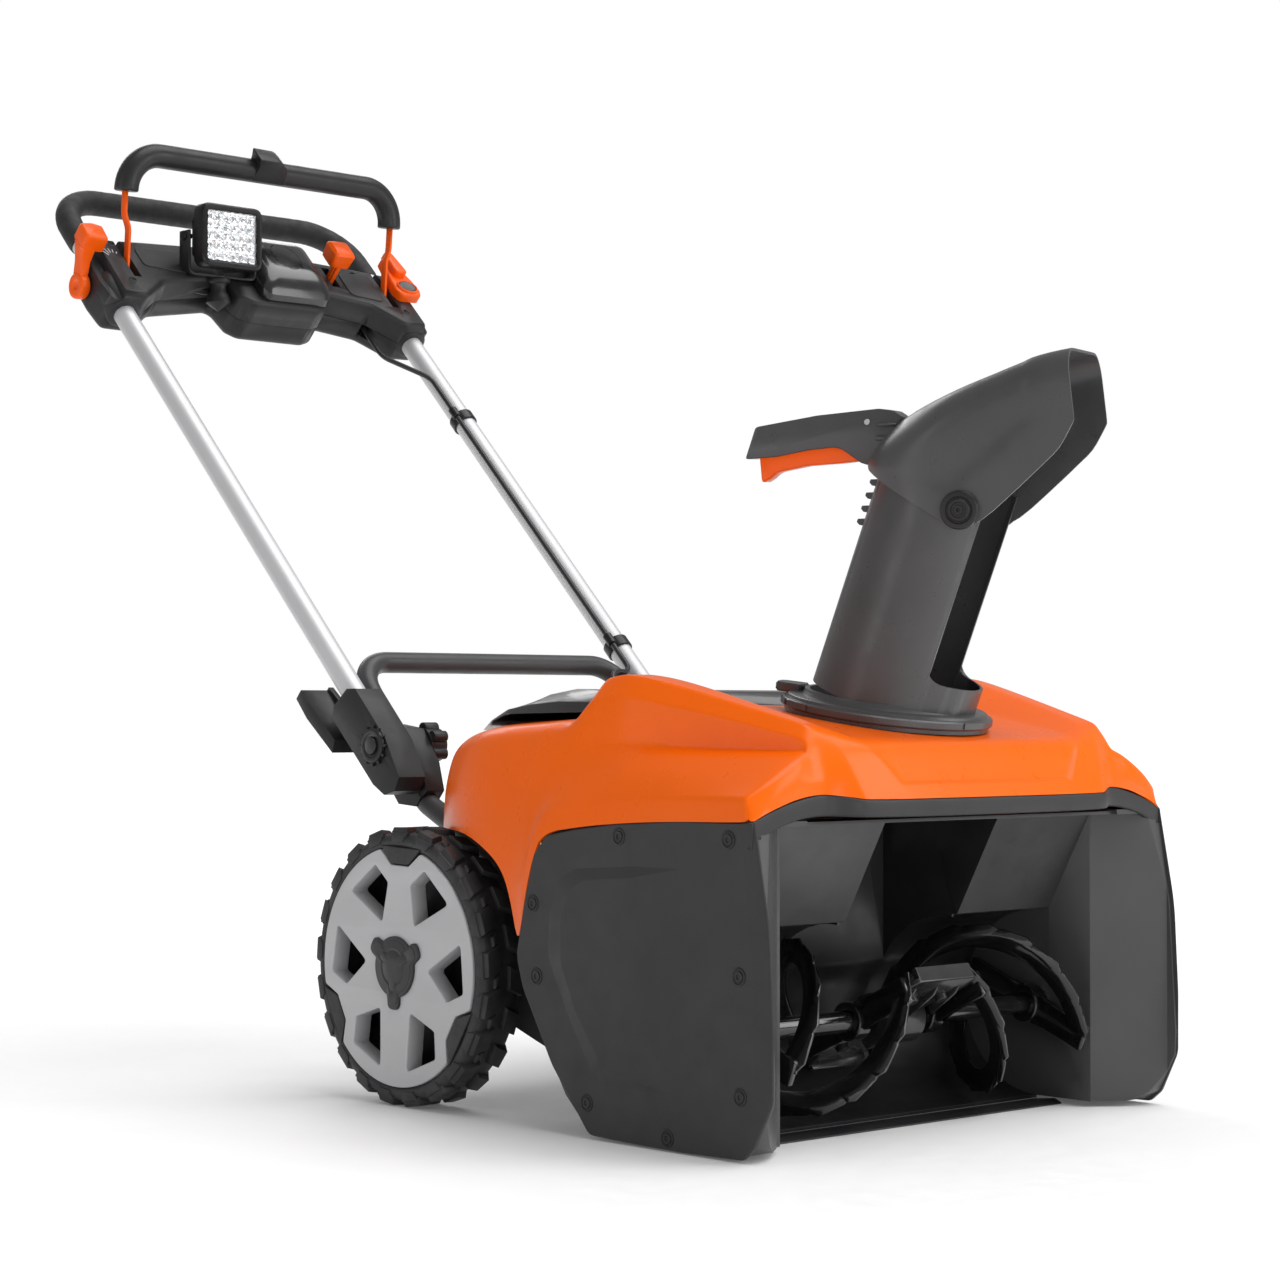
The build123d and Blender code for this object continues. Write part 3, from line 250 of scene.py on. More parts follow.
ORANGE = (0.88, 0.125, 0.0)
ORANGE_SKIN = moulded("orange_gloss", ORANGE, 0.30, grain=1500, grain_bump=0.03, vary=0.03,
                      coat=0.10, coat_rough=0.12, wave=0.0, rough_span=0.04, specular=0.16)
ORANGE_PART = moulded("orange_part", (0.86, 0.10, 0.0), 0.36, grain=1300, grain_bump=0.05, vary=0.04,
                      coat=0.12, coat_rough=0.15, rough_span=0.05, specular=0.2)
ORANGE_COAT = moulded("orange_powder_coat", (0.85, 0.10, 0.0), 0.34, grain=420, grain_bump=0.10, vary=0.05,
                      coat=0.15, coat_rough=0.12, specular=0.2)
DARK = moulded("dark_grained", (0.030, 0.030, 0.0312), 0.46, grain=850, grain_bump=0.16, vary=0.10, specular=0.3)
CONSOLE_DARK = moulded("console_grained", (0.019, 0.019, 0.0205), 0.44, grain=800, grain_bump=0.16, vary=0.12, specular=0.3)
BRACKET_DARK = moulded("bracket_satin", (0.018, 0.018, 0.0195), 0.38, grain=700, grain_bump=0.12, vary=0.12, specular=0.3)
CHUTE_DARK = moulded("chute_satin", (0.055, 0.055, 0.057), 0.33, grain=1000, grain_bump=0.10, vary=0.10, wave=0.03)
LID_DARK = moulded("lid_gloss", (0.018, 0.018, 0.020), 0.30, grain=1200, grain_bump=0.05, vary=0.12,
                   coat=0.3, coat_rough=0.12, rough_span=0.02)
LINER_GREY = moulded("liner_grey", (0.045, 0.045, 0.046), 0.40, grain=700, grain_bump=0.12, vary=0.15, wave=0.04)
PADDLE_DARK = moulded("paddle_satin", (0.020, 0.020, 0.021), 0.22, grain=300, grain_bump=0.08, vary=0.2, coat=0.4)
LINER_BLACK = moulded("liner_black", (0.014, 0.014, 0.015), 0.36, grain=600, grain_bump=0.12, vary=0.2, wave=0.05)
# Painted light: a lighter copy of the dark plastic, put on the side plates' inner faces and the liner's flared side
# walls in place of the fill light that reaches those shaded walls.
SIDE_PAINTED_LIGHT = moulded("chamber_side_painted_light", (0.062, 0.062, 0.064), 0.42, grain=850, grain_bump=0.12, vary=0.1, specular=0.3)
LIGHT_GREY = moulded("wheel_grey", (0.47, 0.47, 0.48), 0.36, grain=900, grain_bump=0.10, vary=0.04)
CAP_DARK = moulded("wheel_cap_grey", (0.035, 0.035, 0.037), 0.36, grain=900, grain_bump=0.12, vary=0.1, specular=0.3)
BUTTON_GREY = moulded("button_grey", (0.075, 0.075, 0.077), 0.42, grain=900, grain_bump=0.15, vary=0.05)
DASH_GLOSS = moulded("dash_gloss", (0.014, 0.014, 0.015), 0.20, grain=1400, grain_bump=0.04, vary=0.15,
                     coat=0.4, coat_rough=0.08)
LAMP_BLACK = moulded("lamp_black", (0.010, 0.010, 0.011), 0.30, grain=1200, grain_bump=0.08, vary=0.2, specular=0.3)
AUGER_GLOSS = moulded("auger_rubber", (0.006, 0.006, 0.0065), 0.17, grain=240, grain_bump=0.06, vary=0.2,
                      coat=0.7, coat_rough=0.07, wave=0.12, rough_span=0.09)
INNER_BLACK = moulded("inner_black", (0.022, 0.022, 0.023), 0.5, grain=600, grain_bump=0.15, vary=0.15)
BOARD_GREEN = moulded("board_green", (0.01, 0.10, 0.03), 0.35, grain=500, grain_bump=0.12, vary=0.3)
FRAME_COAT = moulded("frame_powder_coat", (0.055, 0.055, 0.058), 0.36, grain=480, grain_bump=0.14, vary=0.08, specular=0.3)
CABLE_BLACK = moulded("cable_sheath", (0.012, 0.012, 0.0125), 0.42, grain=700, grain_bump=0.15, vary=0.2)
TYRE_BLACK = worn_rubber("tyre_rubber", (0.012, 0.012, 0.0125), 0.50)
FOAM_BLACK = foam_material("grip_foam", (0.006, 0.006, 0.0064))
ALUMINIUM = brushed("tube_aluminium", (0.60, 0.60, 0.61), 0.50, (1.0, 0.02, 0.02), (math.radians(45), 0, 0), metallic=0.55, lines=0.004, vary=0.03)
STEEL = brushed("zinc_steel", (0.46, 0.46, 0.47), 0.34, (0.2, 1.0, 1.0))
SCREW_DARK = brushed("black_screw", (0.05, 0.05, 0.052), 0.34, (0.3, 1.0, 1.0), metallic=0.7)
LENS = lens_material("lamp_lens")
REFLECTOR = mirror_material("lamp_reflector")


# ---------------------------------------------------------------- mesh tools

def outward(bm):
    """Closes the piece's open backs and turns its faces outwards."""
    bmesh.ops.holes_fill(bm, edges=[e for e in bm.edges if e.is_boundary])
    if bm.calc_volume(signed=True) < 0:
        bmesh.ops.reverse_faces(bm, faces=bm.faces)


def add(name, bm, body, slot, mat, *nodes, smooth=None, closed=True):
    """Makes the piece from a bmesh in machine millimetres, rides it and hides the nodes it stands for."""
    for v in bm.verts:
        v.co = metres(v.co)
    if closed:
        outward(bm)
    mesh = bpy.data.meshes.new(name)
    bm.to_mesh(mesh)
    bm.free()
    return place(name, mesh, body, slot, mat, nodes, smooth)


def place(name, mesh, body, slot, mat, nodes=(), smooth=None):
    o = bpy.data.objects.new(name, mesh)
    scene.collection.objects.link(o)
    mesh.materials.clear()
    mesh.materials.append(mat)
    if smooth is not None:
        shade(mesh, smooth)
    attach(o, body)
    if nodes:
        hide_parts(*nodes)
    return o


def shade(mesh, degrees):
    """Smooth shading with sharp edges above the angle."""
    for p in mesh.polygons:
        p.use_smooth = True
    mesh.set_sharp_from_angle(angle=math.radians(degrees))


def bevel(o, width, segments=3, degrees=30, harden=True):
    mod = o.modifiers.new("edges", "BEVEL")
    mod.width = width * MM
    mod.segments = segments
    mod.limit_method = "ANGLE"
    mod.angle_limit = math.radians(degrees)
    mod.use_clamp_overlap = True
    mod.harden_normals = harden
    mod.miter_outer = "MITER_ARC"
    return mod


def subdivide(o, levels):
    mod = o.modifiers.new("round", "SUBSURF")
    mod.levels = mod.render_levels = levels
    return mod


def solid(o, thickness, offset=-1.0):
    mod = o.modifiers.new("wall", "SOLIDIFY")
    mod.thickness = thickness * MM
    mod.offset = offset
    mod.use_even_offset = True
    return mod


def cut(o, cutter, how="DIFFERENCE"):
    mod = o.modifiers.new("cut", "BOOLEAN")
    mod.object = cutter
    mod.operation = how
    mod.solver = "EXACT"
    return mod


def freeze(o, degrees=None):
    """Turns the modifiers into mesh; keeps name, parent and materials."""
    bpy.context.view_layer.update()
    graph = bpy.context.evaluated_depsgraph_get()
    mesh = bpy.data.meshes.new_from_object(o.evaluated_get(graph))
    old = o.data
    o.modifiers.clear()
    o.data = mesh
    mesh.name = o.name
    bpy.data.meshes.remove(old)
    if degrees is not None:
        shade(mesh, degrees)
    return o


def scrap(*objects):
    for o in objects:
        mesh = o.data
        bpy.data.objects.remove(o)
        bpy.data.meshes.remove(mesh)


def loose(bm, name="cutter"):
    """A helper object that is removed again with scrap()."""
    for v in bm.verts:
        v.co = metres(v.co)
    mesh = bpy.data.meshes.new(name)
    bm.normal_update()
    bm.to_mesh(mesh)
    bm.free()
    o = bpy.data.objects.new(name, mesh)
    scene.collection.objects.link(o)
    return o


def ring_face(bm, points):
    return bm.faces.new([bm.verts.new(p) for p in points])


def prism(bm, low, high):
    """Closed solid between two outlines with the same number of points."""
    a = [bm.verts.new(p) for p in low]
    b = [bm.verts.new(p) for p in high]
    n = len(a)
    faces = [bm.faces.new(a[::-1]), bm.faces.new(b)]
    for i in range(n):
        faces.append(bm.faces.new((a[i], a[(i + 1) % n], b[(i + 1) % n], b[i])))
    return faces


def plate_yz(bm, outline, x0, x1):
    prism(bm, [(x0, y, z) for y, z in outline], [(x1, y, z) for y, z in outline])


def plate_chute(bm, outline, s0, s1):
    prism(bm, [chute(u, s0, h) for u, h in outline], [chute(u, s1, h) for u, h in outline])


def plate_slope(bm, outline, w0, w1):
    prism(bm, [slope(x, v, w0) for x, v in outline], [slope(x, v, w1) for x, v in outline])


def rounded(points, radius, steps=4):
    """Outline with each corner rounded; radius is one number or one per point."""
    n = len(points)
    out = []
    for i, p in enumerate(points):
        r = radius[i] if isinstance(radius, (list, tuple)) else radius
        a = Vector(points[i - 1])
        b = Vector(p)
        c = Vector(points[(i + 1) % n])
        d1, d2 = a - b, c - b
        room = min(d1.length, d2.length) * 0.49
        if r <= 0 or room < 1e-6:
            out.append(tuple(b))
            continue
        d1.normalize()
        d2.normalize()
        angle = d1.angle(d2, math.pi)
        reach = min(room, r / max(0.05, math.tan(angle / 2)))
        p1, p2 = b + d1 * reach, b + d2 * reach
        for k in range(steps + 1):
            t = k / steps
            q = p1 * (1 - t) ** 2 + b * 2 * t * (1 - t) + p2 * t * t
            out.append(tuple(q))
    return out


def lathe(bm, profile, centre, axis="x", steps=64, closed=False):
    """Turns (radius, along) pairs round an axis through centre."""
    rings = []
    for r, a in profile:
        ring = []
        for k in range(steps):
            t = 2 * math.pi * k / steps
            c, s = r * math.cos(t), r * math.sin(t)
            if axis == "x":
                p = (centre[0] + a, centre[1] + c, centre[2] + s)
            elif axis == "y":
                p = (centre[0] + c, centre[1] + a, centre[2] + s)
            else:
                p = (centre[0] + c, centre[1] + s, centre[2] + a)
            ring.append(bm.verts.new(p))
        rings.append(ring)
    pairs = list(zip(rings, rings[1:]))
    if closed:
        pairs.append((rings[-1], rings[0]))
    for p, q in pairs:
        for k in range(steps):
            bm.faces.new((p[k], p[(k + 1) % steps], q[(k + 1) % steps], q[k]))
    if not closed:
        for ring in (rings[0], rings[-1]):
            bm.faces.new(ring)
    bmesh.ops.recalc_face_normals(bm, faces=bm.faces)
    return rings


def frame_along(points):
    """Twist-free side vectors along a polyline."""
    pts = [Vector(p) for p in points]
    ways = []
    for i in range(len(pts)):
        a = pts[max(i - 1, 0)]
        b = pts[min(i + 1, len(pts) - 1)]
        ways.append((b - a).normalized())
    side = ways[0].orthogonal().normalized()
    frames = []
    for w in ways:
        side = (side - w * side.dot(w)).normalized()
        frames.append((side, w.cross(side)))
    return pts, frames


def tube(bm, points, radius, sides=20, caps=True):
    """Round tube along a fine polyline; radius is a number or a function of 0..1."""
    pts, frames = frame_along(points)
    rings = []
    for i, (p, (a, b)) in enumerate(zip(pts, frames)):
        r = radius(i / (len(pts) - 1)) if callable(radius) else radius
        rings.append([bm.verts.new(p + (a * math.cos(t) + b * math.sin(t)) * r)
                      for t in (2 * math.pi * k / sides for k in range(sides))])
    for p, q in zip(rings, rings[1:]):
        for k in range(sides):
            bm.faces.new((p[k], p[(k + 1) % sides], q[(k + 1) % sides], q[k]))
    if caps:
        bm.faces.new(rings[0][::-1])
        bm.faces.new(rings[-1])
    bmesh.ops.recalc_face_normals(bm, faces=bm.faces)
    return rings


def bent(corners, radius, steps=10, share=0.49):
    """A polyline through corners with each inner corner turned on an arc; share is the most of a side it may use."""
    pts = [Vector(c) for c in corners]
    out = [pts[0]]
    for a, b, c in zip(pts, pts[1:], pts[2:]):
        d1, d2 = (a - b).normalized(), (c - b).normalized()
        angle = d1.angle(d2)
        reach = min(radius / math.tan(angle / 2), (a - b).length * share, (c - b).length * share)
        r = reach * math.tan(angle / 2)
        mid = (d1 + d2).normalized()
        centre = b + mid * (r / math.sin(angle / 2))
        start, end = b + d1 * reach - centre, b + d2 * reach - centre
        turn = start.angle(end)
        for k in range(steps + 1):
            t = k / steps
            p = (start * math.sin((1 - t) * turn) + end * math.sin(t * turn)) / math.sin(turn)
            out.append(centre + p)
    out.append(pts[-1])
    return out


def both_sides(build, *args):
    for name, sign in (("right", -1), ("left", 1)):
        build(name, sign, *args)


def refine(node, width, mat, slot=None, degrees=30, segments=2, dissolve=True):
    """The CAD node's own shape with its edges broken by a small rounding."""
    source = NODES[node]
    mesh = source.data.copy()
    bm = bmesh.new()
    bm.from_mesh(mesh)
    bmesh.ops.remove_doubles(bm, verts=bm.verts, dist=1e-6)
    if dissolve:
        bmesh.ops.dissolve_limit(bm, angle_limit=math.radians(1.0), verts=bm.verts, edges=bm.edges)
    bm.to_mesh(mesh)
    bm.free()
    mesh.materials.clear()
    for p in mesh.polygons:
        p.use_smooth = True
    if slot is None:
        slot = SLOT_OF[node]
    o = place(node + "_shape", mesh, BODY_OF[node], slot, mat, (node,))
    bevel(o, width, segments, degrees)
    return freeze(o, 35)


SLOT_OF = {s["node"]: s["material_slot"] for s in frame["record"]["subparts"]}
BODY_OF = {n: b for b, ns in frame["record"]["behaviour"]["bodies"].items() for n in ns}


# ---------------------------------------------------------------- hood

# Half of the hood from front to back. Each row: (x, y, z) of the middle, quarter, panel edge,
# panel border, crest inner, crest outer, bevel low, recess foot, shelf, bulge, corner, lower edge.
HOOD_ROWS = [
    [(0, -512, 303), (60, -512, 303), (110, -511.5, 303), (116, -511, 303), (163, -509, 303.5), (193, -490, 308),
     (203, -489, 307.5), (214, -488.6, 306.5), (230, -488, 303.5), (252, -487.3, 297), (270, -486.3, 290),
     (277.5, -485.4, 286)],
    [(0, -508.2, 315.6), (60, -508.2, 315.6), (112, -507.9, 315.6), (117, -507.6, 315.6), (166, -503.6, 316), (193, -489.5, 319),
     (204, -488.7, 317), (215, -488.8, 315), (232, -488.8, 310), (255, -487.6, 303), (273, -484, 295),
     (278.6, -481.5, 288)],
    [(0, -505, 317.6), (60, -505, 317.6), (113, -504.7, 317.6), (117.6, -507, 317.6), (167, -502.8, 319),
     (193, -489.3, 322), (204.5, -488.5, 320), (216, -489, 317.5), (233, -489, 312), (256, -487.6, 305.5),
     (275, -482, 298), (279, -480, 289)],
    [(0, -499, 334), (60, -499, 334), (127, -498.7, 334), (131, -501, 334), (172, -494.5, 340),
     (195, -484, 344), (204, -484.5, 338), (213, -487.2, 331), (228, -488.8, 324), (255.5, -487, 314),
     (278, -479, 303), (279.5, -478.5, 287)],
    [(0, -492.6, 350), (70, -492.6, 350), (141, -492.3, 350), (145, -493.2, 350.5), (176, -485, 357),
     (196, -476.5, 364.5), (204.5, -478.5, 354), (206.5, -481.5, 345.5), (221, -487, 338), (254, -485.5, 321.5),
     (279, -476, 306), (279.5, -476.5, 286)],
    [(0, -484, 354.5), (72, -484, 354.5), (140, -483, 355), (147, -482.5, 355.8), (178, -474, 364),
     (199, -466, 369), (208, -467.5, 357), (208.5, -470, 345.3), (226, -474, 339.5), (257, -473, 322),
     (279, -468, 306), (279.5, -468, 285.6)],
    [(0, -468, 357.5), (73, -468, 357.5), (140, -467, 358.5), (148, -465, 360), (182, -455, 371),
     (203, -446, 374), (213, -447, 361), (212.5, -449, 345.3), (232, -450, 341), (260.5, -450, 323),
     (279, -449, 305.8), (279.5, -449, 285)],
    [(0, -430, 364), (74, -430, 364.5), (141, -428, 366), (150, -425, 369), (190, -412, 383),
     (212, -402, 385.5), (223, -402, 371.5), (223.5, -402, 345.8), (241, -402, 342), (265, -402, 325),
     (279, -402, 305.2), (279.5, -402, 284.4)],
    [(0, -385, 371), (74, -385, 371.5), (142, -383, 374), (152, -380, 379), (196, -366, 396),
     (220, -356, 397.5), (232, -355, 380.5), (234, -354, 347), (249, -354, 342), (268, -354, 325),
     (278.6, -354, 304), (279.5, -354, 282.6)],
    [(0, -335, 377), (74, -335, 378), (143, -333, 381.5), (154, -331, 388), (200, -322, 407),
     (229, -314, 407.5), (241, -311, 388.5), (244.5, -310, 349), (255, -310, 341), (270, -310, 324),
     (278, -310, 301), (279.5, -310, 279.8)],
    [(0, -290, 382), (74, -290, 383), (143, -289, 387), (155, -289, 395), (202, -289, 412.3),
     (235, -288, 412.3), (247, -286, 391.5), (250.5, -284, 351), (257.5, -283, 339), (267.5, -281, 322),
     (277.6, -279, 298.5), (279.5, -278, 277)],
    [(0, -268, 384.5), (74, -268, 385.5), (143, -268, 389.5), (155, -268, 398), (203, -271, 412.5),
     (235.5, -272, 412), (248.5, -268, 390.5), (253.5, -264, 351), (260.5, -262, 336), (267.5, -260, 319),
     (277.4, -258, 296), (279.5, -257, 274.5)],
    [(0, -258, 384), (74, -258, 385), (143, -258, 389), (155, -258, 396.5), (203.5, -258, 410.5),
     (237, -257, 408.5), (250.5, -252, 387.5), (256.5, -248, 350), (261, -245, 333), (267.5, -243, 315),
     (277.2, -241, 293), (279.5, -240, 272.6)],
    [(0, -240, 374), (74, -240, 375), (143, -240, 376), (155, -240, 377.5), (204.5, -240, 383),
     (240, -238, 383), (253, -232, 371), (258, -228, 347), (262, -226, 328), (268, -224, 308),
     (277, -222, 288), (279.5, -222.5, 268.5)],
    [(0, -236, 372), (74, -236, 372.5), (143, -236, 373), (155, -236, 373.5), (205, -236, 375.5),
     (241, -230, 374.5), (253.5, -222, 366), (259, -218, 344), (263, -216, 324), (268, -214, 302),
     (277, -213, 282), (279.5, -212, 260.5)],
    [(0, -215, 371), (74, -215, 371.5), (143, -215, 372), (155, -215, 372.4), (206, -215, 373.4),
     (241.5, -213, 371.5), (253.5, -208, 362), (259.5, -206, 342), (263.5, -204.5, 320), (268.4, -203, 294),
     (277.4, -202, 268), (279.6, -202, 240)],
    [(0, -192, 370.5), (74, -192, 371), (143, -192, 371.5), (155, -192, 372), (206, -192, 372.6),
     (241.5, -192, 370.4), (253.3, -191, 360.5), (259.5, -191, 341), (263.4, -192, 316), (269, -193, 284),
     (277.6, -193.5, 246), (279.6, -193, 208)],
    [(0, -178, 370), (74, -178, 370.5), (143, -178, 371), (155, -178, 371.4), (206, -178, 371.8),
     (241.2, -178, 369.2), (252.8, -180, 359.5), (259, -181, 340), (263, -183, 314), (272, -185, 269.5),
     (277.6, -186, 222), (279.6, -186.5, 172.5)],
    [(0, -160, 369.5), (74, -160, 370), (143, -160, 370.4), (155, -160, 370.7), (206, -160, 371),
     (240.6, -162, 368), (252, -165, 358), (258, -168, 338), (262, -171, 311), (269.5, -174, 272),
     (274.2, -176, 215), (276.6, -178, 172)],
    [(0, -140, 368.8), (74, -140, 369.2), (143, -140, 369.5), (155, -140, 369.8), (206, -140, 370),
     (240, -141, 366.8), (251, -143, 356.5), (257, -145, 336), (260.6, -147, 308), (265.5, -150, 274),
     (268.6, -154, 244), (270, -157, 230)],
    [(0, -110, 367.6), (74, -110, 368), (143, -110, 368.2), (155, -110, 368.4), (205.5, -110, 368.4),
     (238.8, -111, 364.6), (249, -112, 354), (254.6, -113, 334), (258, -114, 307), (260.8, -115, 280),
     (262.6, -117, 261), (263.6, -118, 251)],
    [(0, -80, 366.4), (74, -80, 366.6), (143, -80, 366.8), (155, -80, 366.8), (204, -80, 366.2),
     (235, -80, 361.6), (244, -80, 351), (249.4, -80, 332), (252.4, -80, 308), (254.2, -80, 285),
     (255.2, -80, 272), (255.8, -80, 264)],
    [(0, -45, 364), (74, -45, 364), (143, -45, 363.8), (153, -45, 363.6), (198, -45, 361.4),
     (224, -44, 354.6), (232, -43, 344.6), (236.6, -42, 328), (239, -42, 308), (240.2, -42, 290),
     (240.8, -42, 276), (241, -42, 266)],
    [(0, -8, 360), (70, -8, 360), (132, -8, 359.4), (144, -8, 359), (180, -8, 354.6),
     (203, -6, 346.6), (210, -4, 337), (214, -2, 322), (216.4, 0, 304), (217.6, 0, 288),
     (218, 0, 275), (218.2, 0, 266)],
    [(0, 10, 357), (64, 10, 357), (122, 10, 356.2), (134, 10, 355.6), (164, 12, 350.6),
     (184, 15, 342), (191, 18, 332), (195, 20, 318), (197.4, 22, 302), (198.6, 23, 288), (199.2, 24, 276),
     (199.4, 24, 266)],
    [(0, 26, 351), (60, 26, 351), (114, 26, 350), (124, 26, 349.2), (148, 29, 344),
     (163, 33, 335), (168.6, 37, 325), (172, 40, 311), (174, 42, 298), (175, 43, 286), (175.6, 44, 276),
     (176, 44, 266)],
    [(0, 39, 334), (58, 39, 334), (108, 39, 333), (117, 39, 332), (138, 42, 327),
     (151, 46, 319), (156, 49, 311), (159, 51, 302), (161, 52, 293), (162, 53, 284), (162.6, 53.5, 275),
     (163, 54, 266)],
    [(0, 44, 300), (58, 44, 300), (107, 44, 299), (115, 44, 298.6), (135, 47, 296),
     (147, 50, 292), (151.6, 53, 289), (154.4, 54.6, 285), (156, 55.6, 281), (157, 56, 277), (157.8, 56.4, 271),
     (158, 56.6, 266)],
    [(0, 46, 266), (58, 46, 266), (106, 46, 266), (114, 46, 266), (134, 49, 266),
     (146, 52, 266), (150.4, 54.6, 266), (153, 56, 266), (154.6, 57, 266), (155.6, 57.6, 266),
     (156.4, 58, 266), (156.8, 58, 265.6)],
]
# How sharp each line along the hood is, from the middle outwards.
HOOD_CREASE = [0, 0, 0.8, 0.8, 0.5, 0.8, 0.8, 0.7, 0.3, 0.0, 0.6, 0]
BAY_ROWS = range(14, 23)
BAY_COLUMN = 4


def chute_cutter(radius, h0, h1):
    bm = bmesh.new()
    steps = 96
    low, high = [], []
    for k in range(steps):
        t = 2 * math.pi * k / steps
        low.append(chute(radius * math.cos(t), radius * math.sin(t), h0))
        high.append(chute(radius * math.cos(t), radius * math.sin(t), h1))
    prism(bm, low, high)
    bmesh.ops.recalc_face_normals(bm, faces=bm.faces)
    return loose(bm)


def hood():
    bm = bmesh.new()
    crease = bm.edges.layers.float.new("crease_edge")
    rows = []
    for row in HOOD_ROWS:
        right = [bm.verts.new((-x, y, z)) for x, y, z in row[:0:-1]]
        middle = [bm.verts.new(row[0])]
        left = [bm.verts.new(p) for p in row[1:]]
        rows.append(right + middle + left)
    last = len(HOOD_ROWS[0]) - 1
    for i, (a, b) in enumerate(zip(rows, rows[1:])):
        for j in range(len(a) - 1):
            column = min(abs(j - last), abs(j + 1 - last))
            if i in BAY_ROWS and column < BAY_COLUMN:
                continue
            bm.faces.new((a[j], a[j + 1], b[j + 1], b[j]))
    bmesh.ops.recalc_face_normals(bm, faces=bm.faces)
    for i, row in enumerate(rows):
        for j, v in enumerate(row):
            column = abs(j - last)
            value = HOOD_CREASE[column]
            fade = 1.0
            if column in (2, 3):
                fade = 1.0 if 1 <= i <= 3 else 0.0
            elif column in (5, 6, 7):
                fade = 1.0 if 4 <= i <= 12 else 0.25
            elif column == 10:
                fade = 1.0 if 3 <= i <= 17 else 0.4
            if i + 1 < len(rows):
                edge = bm.edges.get((v, rows[i + 1][j]))
                if edge and value * fade:
                    edge[crease] = value * fade
    for j in range(len(rows[0]) - 1):
        column = min(abs(j - last), abs(j + 1 - last))
        for i, value in ((1, 0.8), (2, 0.8), (12, 0.35), (14, 0.45), (26, 0.2)):
            if i in (1, 2) and column > 1:
                continue
            edge = bm.edges.get((rows[i][j], rows[i][j + 1]))
            if edge:
                edge[crease] = value
    top = [f for f in bm.faces if f.calc_center_median().z > 340]
    if sum(f.normal.z for f in top) < 0:
        bmesh.ops.reverse_faces(bm, faces=bm.faces)
    loose_verts = [v for v in bm.verts if not v.link_faces]
    bmesh.ops.delete(bm, geom=loose_verts, context="VERTS")
    o = add("hood_shell", bm, "machine", "orange_plastic", ORANGE_SKIN, "hood", closed=False)
    subdivide(o, 3)
    solid(o, 3.0)
    hole = chute_cutter(83, -80, 60)
    cut(o, hole)
    freeze(o, 38)
    scrap(hole)
    return o


hood()


# ---------------------------------------------------------------- flat shapes from outlines

def flat_shape(outlines, depth, edge, steps=2):
    """Mesh data of a plate with holes: (u, v) outlines, depth along w from 0 to depth, rounded edges."""
    curve = bpy.data.curves.new("flat", "CURVE")
    curve.dimensions = "2D"
    curve.fill_mode = "BOTH"
    curve.extrude = max(depth / 2 - edge, 0.001)
    curve.bevel_depth = edge
    curve.bevel_resolution = steps
    curve.offset = -edge
    for outline in outlines:
        line = curve.splines.new("POLY")
        line.points.add(len(outline) - 1)
        for point, (u, v) in zip(line.points, outline):
            point.co = (u, v, 0, 1)
        line.use_cyclic_u = True
    o = bpy.data.objects.new("flat", curve)
    scene.collection.objects.link(o)
    bpy.context.view_layer.update()
    mesh = bpy.data.meshes.new_from_object(o.evaluated_get(bpy.context.evaluated_depsgraph_get()))
    bpy.data.objects.remove(o)
    bpy.data.curves.remove(curve)
    bm = bmesh.new()
    bm.from_mesh(mesh)
    bpy.data.meshes.remove(mesh)
    bmesh.ops.remove_doubles(bm, verts=bm.verts, dist=0.002)
    for v in bm.verts:
        v.co.z += depth / 2
    return bm


def laid(bm, where):
    """Moves a flat shape to its place; where(u, v, w) gives the machine point."""
    for v in bm.verts:
        v.co = where(v.co.x, v.co.y, v.co.z)
    bmesh.ops.recalc_face_normals(bm, faces=bm.faces)
    return bm


def joined(*parts):
    """One bmesh from several."""
    out = bmesh.new()
    for part in parts:
        mesh = bpy.data.meshes.new("part")
        part.to_mesh(mesh)
        part.free()
        out.from_mesh(mesh)
        bpy.data.meshes.remove(mesh)
    return out


def ellipse(cu, cv, ru, rv, steps=48, start=0.0):
    return [(cu + ru * math.cos(start + 2 * math.pi * k / steps), cv + rv * math.sin(start + 2 * math.pi * k / steps))
            for k in range(steps)]


def offset_loop(points, gap):
    """The closed outline moved inwards by gap; points run either way round."""
    n = len(points)
    area = sum(points[i - 1][0] * points[i][1] - points[i][0] * points[i - 1][1] for i in range(n))
    turn = 1 if area > 0 else -1
    out = []
    for i in range(n):
        a, b, c = Vector(points[i - 1]), Vector(points[i]), Vector(points[(i + 1) % n])
        d1, d2 = (b - a), (c - b)
        if d1.length < 1e-6 or d2.length < 1e-6:
            out.append(tuple(b))
            continue
        d1.normalize()
        d2.normalize()
        n1, n2 = Vector((-d1.y, d1.x)) * turn, Vector((-d2.y, d2.x)) * turn
        m = n1 + n2
        m = m / max(0.35, m.length_squared / 2)
        out.append(tuple(b + m * gap))
    return out


# ---------------------------------------------------------------- side plates

PLATE_LINE = [
    ((-486.5, 287), 3), ((-504, 195), 260), ((-508, 110), 200), ((-507.5, 52), 24), ((-487, 13), 16),
    ((-474, 2.5), 9), ((-398, 1), 0), ((-330, 2), 0), ((-281, 3.5), 14), ((-231, 61), 60), ((-190, 128), 60),
    ((-181.5, 157), 26), ((-193, 207), 60), ((-205.5, 249.5), 12), ((-223, 267.5), 10), ((-262, 274), 60),
    ((-313, 280), 0), ((-398, 285), 0),
]
STEP_RISE, FRONT_FALL = 2.5, 2.4
PLATE_SCREWS = [(-321, 269), (-458, 270.5), (-205.5, 205), (-210.5, 139.5), (-470.5, 156), (-279, 32),
                (-472, 55.5), (-383, 11.5)]
STEP_OUTER = [(-336, 243.5), (-262, 238.5), (-240, 228), (-228, 196), (-226.5, 158), (-251, 112), (-283, 62.5),
              (-301, 51.5), (-340, 49.5)]
